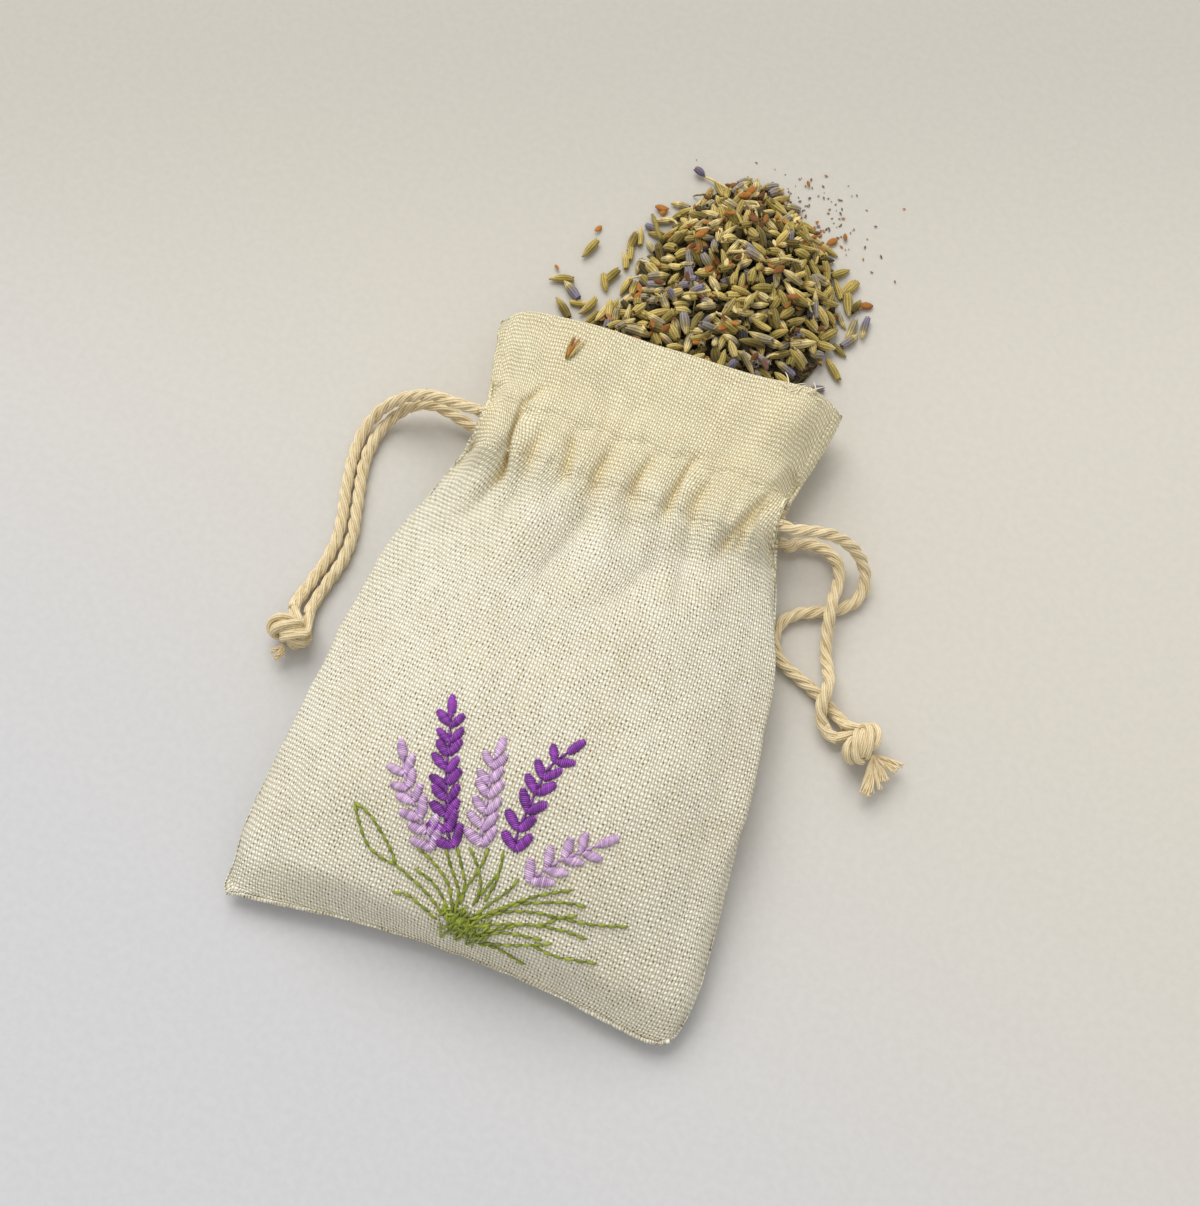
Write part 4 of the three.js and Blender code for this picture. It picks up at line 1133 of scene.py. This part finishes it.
makeFrayedThreads()

embroidery = {
    "thread": 0.22,
    "floretLength": 4.2,
    "floretWidth": 1.95,
    "floretSpread": 42,
    "stitch": 2.1,
    "stemThread": 0.35,
    "lift": 0.2,
    "tuftStitches": 120,
    "tuft": (1.4, -56.2),
    "tuftThread": 0.26,
}


def addFloret(shape, root, heading, length, width, rng):
    # satin stitch: threads laid across the floret side by side, over a padded middle
    along = np.array((math.cos(heading), math.sin(heading)))
    side = np.array((-along[1], along[0]))
    slant = rng.uniform(0.2, 0.5)
    count = int(length / (embroidery["thread"] * 1.7))
    for n in range(count):
        s = (n + 0.5) / count
        half = width / 2 * math.sin(math.pi * (0.08 + 0.86 * s)) ** 0.6
        middle = np.array(root) + along * length * s
        low, high = -half - rng.uniform(-0.1, 0.2), half + rng.uniform(-0.1, 0.2)
        points = []
        spans = np.linspace(low, high, 7)
        for t in spans:
            x, y = middle + side * t + along * slant * t
            padding = 0.34 * max(1 - (t / half) ** 2, 0) ** 0.7 - 0.2 * (t / half) ** 4
            points.append(onFront(x, y, embroidery["lift"] + padding)[0])
        # painted shade towards each thread's ends, times a random tone per thread
        shade = (1.08 - 0.3 * np.abs(np.linspace(-1, 1, 7)) ** 3) * rng.uniform(0.78, 1.14)
        addTube(shape, np.array(points), embroidery["thread"], 5, rng.uniform(0.1, 1.0),
                up=onFront(*middle)[1], shade=shade)


def lineAt(points, share):
    path = smoothPath([(x, y, 0) for x, y in points], 10)
    along = lengthsAlong(path)
    at = share * along[-1]
    place = np.array([np.interp(at, along, path[:, k]) for k in range(2)])
    ahead = np.array([np.interp(min(at + 0.5, along[-1]), along, path[:, k]) for k in range(2)])
    before = np.array([np.interp(max(at - 0.5, 0), along, path[:, k]) for k in range(2)])
    step = ahead - before
    return place, math.atan2(step[1], step[0]), along[-1]


def addStitchedLine(shape, points, rng, thread, length, low=0.1, high=0.9):
    _, _, total = lineAt(points, 0)
    count = max(int(round(total / length)), 1)
    for n in range(count):
        start, end = lineAt(points, n / count)[0], lineAt(points, (n + 1) / count)[0]
        back = (start - end) * 0.08  # each stitch starts a little under the one before
        tone = rng.uniform(low, lerp(low, high, 0.6)) if n % 2 else rng.uniform(lerp(low, high, 0.5), high)
        addStitch(shape, start + back, end, thread, tone, embroidery["lift"] + 0.08)


def makeSprig(name, node, stem, pairs, material, slotName, seed):
    shape = newShape()
    rng = random.Random(seed)
    addStitchedLine(shape, stem, rng, embroidery["stemThread"], 1.8, 0.05, 0.4)
    spread = math.radians(embroidery["floretSpread"])
    for n in range(pairs):
        share = 0.01 + 0.86 * n / pairs
        root, heading, _ = lineAt(stem, share)
        small = lerp(1.0, 0.84, share)
        for turn in (1, -1):
            angle = heading + turn * (spread + rng.uniform(-0.14, 0.14))
            shift = np.array((math.cos(heading), math.sin(heading))) * rng.uniform(-0.4, 0.4)
            shift = shift + np.array((math.cos(angle), math.sin(angle))) * 0.35
            addFloret(shape, root + shift, angle, embroidery["floretLength"] * small * rng.uniform(0.9, 1.08),
                      embroidery["floretWidth"] * small * rng.uniform(0.9, 1.05), rng)
    root, heading, _ = lineAt(stem, 0.86)
    addFloret(shape, root, heading + rng.uniform(-0.1, 0.1), embroidery["floretLength"],
              embroidery["floretWidth"] * 0.9, rng)
    dress(finishShape(shape, name, material), "bag", slotName, node)


makeSprig("leftLilacStitches", "left_lilac_sprig", [(-9, -45.5), (-11, -42.5), (-14, -39.5), (-18, -35), (-22, -28)],
          6, lilacThread, "lilac_thread", 61)
makeSprig("leftPurpleStitches", "left_purple_sprig",
          [(-5, -43.5), (-8, -40), (-9.5, -35.5), (-11.5, -30), (-13, -24), (-16, -15.5)],
          9, purpleThread, "purple_thread", 62)
makeSprig("middleLilacStitches", "middle_lilac_sprig", [(0, -41.5), (-1, -38), (-2, -32), (-3, -26.5), (-3, -21.5)],
          6, lilacThread, "lilac_thread", 63)
makeSprig("rightPurpleStitches", "right_purple_sprig",
          [(6.5, -40.5), (6, -36.5), (6.5, -31), (7, -26), (8, -22), (12, -16)],
          6, purpleThread, "purple_thread", 64)
makeSprig("rightLilacStitches", "right_lilac_sprig", [(11, -45), (13, -42), (16, -38.5), (19, -36), (23.5, -32)],
          4, lilacThread, "lilac_thread", 65)

greenLines = [
    [(-15, -50), (-19, -49.5), (-22, -48), (-25, -44.5), (-27, -41.5)],
    [(-27, -41.5), (-23.5, -42.5), (-20, -45), (-17, -47.5), (-15, -50)],
    [(-15, -50), (-11, -51.5), (-6.5, -53.5), (-3, -56)],
    [(-14, -44.5), (-11, -46), (-7.5, -47.5), (-4, -50), (-2, -53.5), (-1, -56)],
    [(-11, -49.5), (-7.5, -50.5), (-5, -52), (-2.5, -54.5)],
    [(-14, -55), (-11, -54.5), (-8, -55.5), (-4, -57)],
    [(-6.5, -44), (-4, -47.5), (-1.5, -50.5), (-1, -54)],
    [(-4.5, -43), (-2.5, -46), (-0.5, -49.5), (-0.5, -53)],
    [(-2, -42.5), (0, -44.5), (1.5, -46.5), (2.5, -49), (2, -52.5)],
    [(1.5, -41.5), (1.5, -44), (0.5, -47.5), (-0.5, -50), (-1, -53)],
    [(4.5, -41), (5, -44), (5, -47), (4, -51)],
    [(5, -45), (3.5, -48.5), (2, -52)],
    [(9, -45), (8, -47.5), (5.5, -50.5), (3, -54)],
    [(19.5, -43.5), (16.5, -45), (13, -47), (9.5, -49.5), (5, -53)],
    [(23, -45.5), (19, -46), (15, -47.5), (11, -49), (8, -51), (4, -54)],
    [(32, -46), (27.5, -47.5), (23, -48.5), (19, -49), (15, -49.5), (11, -50.5), (7.5, -52), (3, -55)],
    [(22, -47.5), (19, -49), (16, -51.5), (12.5, -52.5), (9, -54.5), (4, -57)],
    [(25, -51), (21, -51), (17, -51.5), (12.5, -52.5), (8, -54), (3, -56)],
    [(17, -54), (13.5, -54.5), (10, -55), (5, -57)],
    [(19, -54), (15.5, -55.5), (11, -57), (6, -58)],
    [(28.5, -54.5), (23.5, -55.5), (19.5, -56), (15.5, -55.5)],
    [(15, -59), (12, -58.5), (8.5, -58), (5, -58.5)]]


def makeGreenStitches():
    shape = newShape()
    rng = random.Random(66)
    for line in greenLines:
        addStitchedLine(shape, line, rng, embroidery["stemThread"], embroidery["stitch"])
    middle = embroidery["tuft"]
    for _ in range(embroidery["tuftStitches"]):  # the tuft: short stitches heaped across each other
        x, y = rng.gauss(middle[0], 2.6), rng.gauss(middle[1], 1.35)
        if abs(x - middle[0]) > 5.5 or abs(y - middle[1]) > 2.8:
            continue
        heading, half = math.radians(rng.gauss(58, 30)), rng.uniform(0.8, 1.3)
        step = np.array((math.cos(heading), math.sin(heading))) * half
        place = np.array((x, y))
        addStitch(shape, place - step, place + step, embroidery["tuftThread"], rng.uniform(0.1, 1.0),
                  embroidery["lift"] + rng.uniform(0.0, 0.5), 0.4)
    dress(finishShape(shape, "greenStitches", greenThread), "bag", "green_thread", "green_stems_and_leaves")


makeGreenStitches()
print("stitching done")

# Dried lavender: ribbed buds, dropped one by one so that each rests on those below

lavender = {
    "length": 5.6,
    "width": 1.85,
    "ribs": 8,
    "around": 24,
    "heapBuds": 620,
    "heapTall": 9.4,
    "coreShare": 0.56,
    "cell": 0.5,
    "tries": 9000,
    "petalsEach": 7,
    "chaff": 260,
    "brokenStalks": 70,
    "dust": 160,
}
budProfile = [
    (0.0, 0.2), (0.04, 0.28), (0.13, 0.5), (0.28, 0.8), (0.48, 1.0), (0.68, 1.0), (0.85, 0.86), (0.95, 0.76),
    (1.0, 0.68),
    (0.96, 0.5), (0.86, 0.28), (0.8, 0.03)]


def makeLavender(name, dark):
    material, tree, shader = newMaterial(name, 0.85, 0.2, 0.15)
    tone = valueOf(tree, "tone")
    kind = ramped(tree, tone, [
        (0.0, (0.10, 0.07, 0.02)), (0.2, (0.25, 0.195, 0.045)), (0.42, (0.49, 0.375, 0.11)), (0.52, (0.70, 0.57, 0.27)),
        (0.62, (0.33, 0.275, 0.135)), (0.76, (0.24, 0.21, 0.195)), (0.88, (0.19, 0.17, 0.27)),
        (0.93, (0.14, 0.055, 0.015)),
        (1.0, (0.42, 0.165, 0.03))])
    fibre = placeGroup(tree, fibreGroup, Vector=objectMillimetres(tree), Scale=3.0)
    # dark scales the whole colour: below one it makes a copy of the material in painted shade
    shade = calc(tree, "MULTIPLY", ranged(tree, fibre["Shade"], 0.3, 0.7, 0.7 * dark, 1.3 * dark), valueOf(tree, "shade"))
    feed(tree, mixed(tree, 1.0, kind, shade, "MULTIPLY"), shader.inputs["Base Color"])
    bumped(tree, shader, fibre["Height"], 0.5, 0.12)
    return material


def makeLavenderMass():
    # packed buds seen only as a mass
    material, tree, shader = newMaterial("lavenderMass", 0.9, 0.15)
    grain = noisy(tree, objectMillimetres(tree), 0.5, 4, 0.6)
    colour = ramped(tree, grain, [(0.3, (0.07, 0.055, 0.02)), (0.5, (0.24, 0.19, 0.06)), (0.7, (0.42, 0.33, 0.13))])
    feed(tree, colour, shader.inputs["Base Color"])
    bumped(tree, shader, grain, 1.0, 0.8)
    return material


driedLavender = makeLavender("driedLavender", 1.0)
# a darker copy of the buds' material, painted shade for the crumbs between them
lavenderInShade = makeLavender("lavenderInShade", 0.75)
lavenderMass = makeLavenderMass()


def addBud(shape, centre, heading, pitch, length, width, tones, rng, paintedBurialShade=1.0):
    # tones are those of the bud's stalk end and of its tip
    angles = np.arange(lavender["around"]) * 2 * np.pi / lavender["around"]
    ridge = np.cos(lavender["ribs"] * angles)
    bend = rng.uniform(-0.07, 0.07) * length
    teeth = rng.uniform(0.02, 0.06) * length
    rings, shades, blend = [], [], []
    for number, (share, wide) in enumerate(budProfile):
        radius = width / 2 * wide * (1 + 0.13 * ridge)
        x = (share - 0.5) * length + (teeth * np.cos(5 * angles) if number == 8 else 0 * angles)
        z = radius * np.sin(angles) + bend * (2 * share - 1) ** 2
        rings.append(np.stack([x, radius * np.cos(angles), z], axis=-1))
        # painted shade in the rib grooves and inside the open tip, lighter towards the tip, and painted shade on buried
        # buds
        shades.append((0.78 + 0.5 * ridge + 0.26 * share) * (0.3 if number > 9 else 1) * paintedBurialShade)
        blend.append(lerp(tones[0], tones[1], float(smoothstep(0.1, 0.7, share))))
    roll = Matrix.Rotation(rng.uniform(0, 6.3), 3, "X")
    turn = np.array(Matrix.Rotation(heading, 3, "Z") @ Matrix.Rotation(-pitch, 3, "Y") @ roll)
    addRings(shape, np.array(rings) @ turn.T + np.array(centre), np.array(blend)[:, None], np.array(shades))


def budTones(rng):
    stalk, pick = rng.uniform(0.36, 0.53), rng.random()
    if pick < 0.58:
        return stalk, rng.uniform(0.16, 0.48)  # olive and khaki
    if pick < 0.78:
        return stalk, rng.uniform(0.57, 0.7)  # grey
    if pick < 0.9:
        return stalk + 0.05, rng.uniform(0.72, 0.86)  # bluish
    return rng.uniform(0.1, 0.3), rng.uniform(0.0, 0.15)


heapOutline = through([
    (66, 20), (76, 23), (83, 25.4), (92, 24.3), (104, 23), (116, 18.4), (124, 12), (129, 6.5), (132, 2)])
heapMiddle = through([(66, 3), (76, 3), (83, 3.6), (92, 7.7), (104, 8.5), (116, 7.1), (124, 5.5), (132, 4)])


def heapTop(x, y):
    share = np.abs(x - heapMiddle(y)) / heapOutline(y)
    tall = lavender["heapTall"] * (1 - smoothstep(108, 133, y)) * smoothstep(60, 84, y)
    return tall * np.maximum(1 - share**2.4, 0) ** 0.8


def dropBuds():
    rng = random.Random(90)
    cell = lavender["cell"]
    low = np.array((-44.0, 58.0))
    gridX = low[0] + cell * (np.arange(190) + 0.5)
    gridY = low[1] + cell * (np.arange(170) + 0.5)
    ground = lavender["coreShare"] * heapTop(gridX[:, None], gridY[None])
    spots = [(s, t) for s in np.linspace(-0.45, 0.45, 7) for t in (-0.3, 0.0, 0.3)]
    lying = []
    for _ in range(lavender["tries"]):
        if len(lying) >= lavender["heapBuds"]:
            break
        y = rng.uniform(68, 131)
        stray = rng.uniform(1.0, 1.22) if rng.random() < 0.22 else 1.0
        x = float(heapMiddle(y) + heapOutline(y) * rng.uniform(-1.04, 1.04) * stray)
        heading = rng.uniform(0, 2 * math.pi)
        length = lavender["length"] * rng.uniform(0.66, 1.12)
        width = lavender["width"] * rng.uniform(0.7, 1.15)
        step = np.array((math.cos(heading), math.sin(heading)))
        across = np.array((-step[1], step[0]))
        cells = [((np.array((x, y)) + step * length * s + across * width * t - low) / cell).astype(int)
                 for s, t in spots]
        heights = [ground[i, j] for i, j in cells]
        tail = max(h for h, (s, _) in zip(heights, spots) if s < -0.1)
        nose = max(h for h, (s, _) in zip(heights, spots) if s > 0.1)
        pitch = max(-0.7, min(0.7, math.atan2(nose - tail, length * 0.7)))
        rest = max(0.5 * (tail + nose) + width * 0.36, width * 0.48)
        if rest > float(heapTop(np.array(x), np.array(y))) + 0.9:
            continue
        lying.append(((x, y, rest), heading, pitch, length, width, budTones(rng)))
        for (i, j), (s, t) in zip(cells, spots):
            crown = width / 2 * math.sqrt(max(1 - (2 * t) ** 2, 0)) * (1 - 0.7 * abs(s))
            top = rest + math.sin(pitch) * length * s + crown
            ground[i, j] = max(ground[i, j], top)
    shape = newShape()

    def groundAt(x, y):
        return float(ground[int((x - low[0]) / cell), int((y - low[1]) / cell)])

    for (x, y, rest), *how in lying:
        # buds lying under others get painted shade
        buried = float(smoothstep(0.7, 2.2, groundAt(x, y) - rest))
        addBud(shape, (x, y, rest), *how, rng, paintedBurialShade=1.14 - 0.95 * buried)
    print(f"heap: {len(lying)} buds")
    return shape, groundAt


def addStraw(shape, start, end, radius, tone, rng):
    points = [lerp(np.array(start), np.array(end), s) + np.array((0, 0, 0.5 * math.sin(3 * s)))
              for s in np.linspace(0, 1, 8)]
    wobble = np.array([[rng.uniform(-0.12, 0.12) for _ in range(3)] for _ in points])
    addTube(shape, np.array(points) + wobble, radius * np.array([0.8, 1, 0.95, 1.05, 1, 1.0, 0.95, 0.75]), 7, tone)


def addFlake(shape, centre, size, tone, rng):
    # a curled brown scrap of calyx or leaf
    heading, curl = rng.uniform(0, 6.3), rng.uniform(0.3, 1.0)
    step = np.array((math.cos(heading), math.sin(heading), rng.uniform(-0.3, 0.3)))
    points = [np.array(centre) + step * size * s + np.array((0, 0, curl * size * 0.4 * s * s))
              for s in np.linspace(-0.5, 0.5, 6)]
    radii = size * 0.28 * np.array([0.25, 0.8, 1.0, 0.9, 0.6, 0.15])
    addTube(shape, np.array(points), radii, 6, tone, flat=0.3, up=(0.2, 0.1, 0.97))


straws = [  # from and to, radius, tone
    ((-9.3, 128.6), (3.3, 125.0), 0.3, 0.5), ((-17.5, 114.6), (-13.1, 107.7), 0.5, 0.24),
    ((3.8, 104.8), (14.5, 111.6), 0.4, 0.5), ((7.4, 98.4), (6.8, 103.5), 0.42, 0.3),
    ((-10.5, 84.9), (-7.9, 81.0), 0.34, 0.52), ((11.5, 92.0), (13.0, 98.0), 0.45, 0.3),
    ((-4.0, 93.0), (3.0, 94.6), 0.36, 0.52), ((18.0, 112.0), (22.0, 119.0), 0.34, 0.46),
    ((2.0, 117.0), (6.0, 112.0), 0.36, 0.4)]
petals = [
    (-3.2, 102.3), (1.7, 103.0), (-3.3, 109.1), (19.2, 118.0), (21.7, 120.5), (19.1, 83.5), (3.7, 126.0),
    (-2.2, 114.9), (20.1, 98.9), (-6.7, 81.0), (13.0, 105.1), (-13.0, 92.0), (9.0, 88.0), (24.0, 91.0), (7.0, 118.0)]


def dressHeap(shape, groundAt):
    rng = random.Random(91)
    for start, end, radius, tone in straws:
        high = [groundAt(*place) + 0.5 for place in (start, end)]
        addStraw(shape, (*start, high[0]), (*end, high[1]), radius, tone, rng)
    addBud(shape, (-10.4, 129.0, 1.4), 2.8, 0.2, 3.0, 1.7, (0.84, 0.9), rng)
    for x, y in petals:  # withered petals lie in clusters
        for _ in range(lavender["petalsEach"]):
            px, py = rng.gauss(x, 1.5), rng.gauss(y, 1.5)
            addFlake(shape, (px, py, groundAt(px, py) + 0.3), rng.uniform(1.4, 3.4), rng.uniform(0.92, 1.0), rng)
    for _ in range(lavender["chaff"]):
        y = rng.uniform(76, 130)
        x = float(heapMiddle(y) + heapOutline(y) * rng.uniform(-1, 1))
        addFlake(shape, (x, y, groundAt(x, y) + 0.15), rng.uniform(0.8, 2.6),
                 rng.choice([0.93, 0.96, 1.0, 0.5, 0.1, 0.24, 0.66]), rng)
    for _ in range(lavender["brokenStalks"]):
        y = rng.uniform(78, 127)
        x = float(heapMiddle(y) + heapOutline(y) * rng.uniform(-0.95, 0.95))
        heading, length = rng.uniform(0, 6.3), rng.uniform(1.5, 4.5)
        end = (x + length * math.cos(heading), y + length * math.sin(heading))
        high = [groundAt(*place) + 0.1 for place in ((x, y), end)]
        addStraw(shape, (x, y, high[0]), (*end, high[1]), rng.uniform(0.16, 0.34),
                 rng.choice([0.5, 0.53, 0.3, 0.16, 0.4]), rng)


def makeHeap():
    shape, groundAt = dropBuds()
    dressHeap(shape, groundAt)
    dress(finishShape(shape, "heapBuds", driedLavender), "bag", "dried_lavender", "spilled_lavender", "mouth_lavender")
    # crumbs fill the heap under the buds, painted dark as the shade in the gaps between them
    rng = np.random.default_rng(8)
    across, along = np.meshgrid(np.linspace(-1, 1, 90), np.linspace(62, 131, 110))
    x = heapMiddle(along) + across * heapOutline(along) * 0.97
    z = lavender["coreShare"] * heapTop(x, along) + rng.uniform(-0.3, 0.5, x.shape) * (1 - np.abs(across))
    points = np.stack([x, along, np.maximum(z, 0.02)], axis=-1)
    core = meshFrom("shadedHeapCrumbs", points.reshape(-1, 3), gridFaces(110, 90), lavenderInShade,
                    tone=rng.choice([0.0, 0.06, 0.14, 0.94, 0.96], x.size), shade=rng.uniform(0.15, 0.6, x.size))
    dress(core, "bag", "dried_lavender")


makeHeap()

# Loose buds beside the heap: place, turn in degrees, tone
looseBuds = [
    (-28.3, 101, 70, 0.34), (-21.4, 95.5, 62, 0.2), (-19.5, 106, 85, 0.15), (-32, 91.5, 18, 0.3),
    (-28.6, 89.4, -35, 0.84), (-29, 84.5, -40, 0.1), (-23.5, 86.5, 65, 0.36), (35.5, 101, 85, 0.66),
    (38.2, 102.5, 92, 0.84), (33, 107, 110, 0.3), (31.5, 111, 70, 0.4), (-25.5, 80.5, 20, 0.62)]
looseFlakes = [  # place and size
    (-28.3, 106.8, 2.4), (-34, 94, 1.6), (-15.9, 117.1, 3.4), (-15.2, 116.2, 2.6), (36.8, 108.4, 3.6),
    (34.8, 107.2, 3.0), (27.2, 124.0, 2.0), (24.6, 121.8, 3.2), (14.8, 134.9, 1.6)]


def makeLooseBuds():
    rng = random.Random(92)
    shape = newShape()
    for x, y, turn, tone in looseBuds:
        width = lavender["width"] * rng.uniform(0.9, 1.1)
        addBud(shape, (x, y, width * 0.5), math.radians(turn), rng.uniform(-0.05, 0.05),
               lavender["length"] * rng.uniform(0.9, 1.1), width, (0.47, tone), rng)
    for x, y, size in looseFlakes:
        addFlake(shape, (x, y, 0.6), size, rng.uniform(0.95, 1.0), rng)
    for _ in range(lavender["dust"]):  # dust blown past the heap's far right
        x, y = rng.gauss(17, 9), rng.gauss(126, 8)
        if y > 141 or x > 44 or y < 96:
            continue
        size = rng.uniform(0.2, 0.62)
        addFlake(shape, (x, y, size * 0.3), size * 1.6, rng.choice([0.0, 0.96, 1.0, 0.9, 0.12]), rng)
    nodes = [f"loose_bud_{n}" for n in range(1, 9)]
    dress(finishShape(shape, "looseBuds", driedLavender), "bag", "dried_lavender", *nodes)


def makeHeaderBit():
    # four withered slips that lie on the header
    bit = newShape()
    for number, (dx, turn) in enumerate([(0.0, 79), (0.45, 70), (-0.3, 88), (0.2, 98)]):
        heading = math.radians(turn)
        path = []
        for s in np.linspace(0, 1, 6):
            px, py = -21.2 + dx + math.cos(heading) * 6.0 * s, 66.2 + math.sin(heading) * 6.0 * s
            path.append(onFront(px, py, 0.35 + 0.5 * math.sin(math.pi * s))[0])
        addTube(bit, np.array(path), 0.36 * np.array([0.3, 0.9, 1, 0.8, 0.6, 0.2]), 6, (1.0, 0.44, 0.98, 0.3)[number])
    dress(finishShape(bit, "headerBit", driedLavender), "bag", "dried_stalk", "bit_on_header")


makeLooseBuds()
makeHeaderBit()
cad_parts["lavender_filling"].data.materials.clear()
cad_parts["lavender_filling"].data.materials.append(lavenderMass)
print("lavender dropped")

# Floor and light

studio = {
    # floor colours in painted warm and cool light, and a painted falloff from bright near the camera to darker away
    "floorInWarmLight": (0.551, 0.531, 0.488),
    "floorInCoolLight": (0.524, 0.531, 0.562),
    "paintedFloorFalloff": (1.09, 0.91),
    "paintedFalloffFromTo": (58, 186),
    "warmLightFromTo": (-120, 70),
    "keyColour": (1.0, 0.975, 0.93),
    "worldColour": (1.0, 0.98, 0.945),
    "worldLevel": 0.65,
    "keyPower": 77.0,
    "keyPlace": (-1.1, 1.65, 2.25),
    "keySize": 2.4,
}


def makeFloor():
    material, tree, shader = newMaterial("floorPaper", 0.9, 0.2)
    grain = noisy(tree, objectMillimetres(tree), 0.6, 5, 0.6)
    shade = ranged(tree, grain, 0.3, 0.7, 0.975, 1.02)
    place = tree.nodes.new("ShaderNodeSeparateXYZ")
    tree.links.new(objectMillimetres(tree), place.inputs[0])
    # painted light: the floor brighter nearer the camera, darker further away
    away = calc(tree, "MULTIPLY_ADD", place.outputs[0], -0.35, place.outputs[1])
    shade = calc(tree, "MULTIPLY", shade, ranged(tree, away, *studio["paintedFalloffFromTo"], *studio["paintedFloorFalloff"]))
    # painted light: warm towards the top of the view, cool nearer the camera
    nearer = calc(tree, "MULTIPLY_ADD", place.outputs[0], 0.3, place.outputs[1])
    warmLightShare = ranged(tree, nearer, *studio["warmLightFromTo"])
    colour = mixed(tree, warmLightShare, studio["floorInCoolLight"], studio["floorInWarmLight"])
    feed(tree, mixed(tree, 1.0, colour, shade, "MULTIPLY"), shader.inputs["Base Color"])
    far = 1500
    corners = [(-far, -far, 0), (far, -far, 0), (far, far, 0), (-far, far, 0)]
    floor = meshFrom("floor", corners, [(0, 1, 2, 3)], material)
    floor.location.z = -0.0001


def addLamp(name, place, power, size, colour):
    data = bpy.data.lights.new(name, "AREA")
    data.energy, data.size, data.color = power, size, colour
    lamp = bpy.data.objects.new(name, data)
    lamp.location = place
    aim = Vector((0.0, 0.02, 0.0)) - Vector(place)
    lamp.rotation_euler = aim.to_track_quat("-Z", "Y").to_euler()
    scene.collection.objects.link(lamp)


makeFloor()
addLamp("windowLight", studio["keyPlace"], studio["keyPower"], studio["keySize"], studio["keyColour"])
world = bpy.data.worlds.new("studio")
scene.world = world
world.use_nodes = True
backdrop = world.node_tree.nodes["Background"]
backdrop.inputs["Color"].default_value = (*studio["worldColour"], 1.0)
backdrop.inputs["Strength"].default_value = studio["worldLevel"]
print("studio lit")
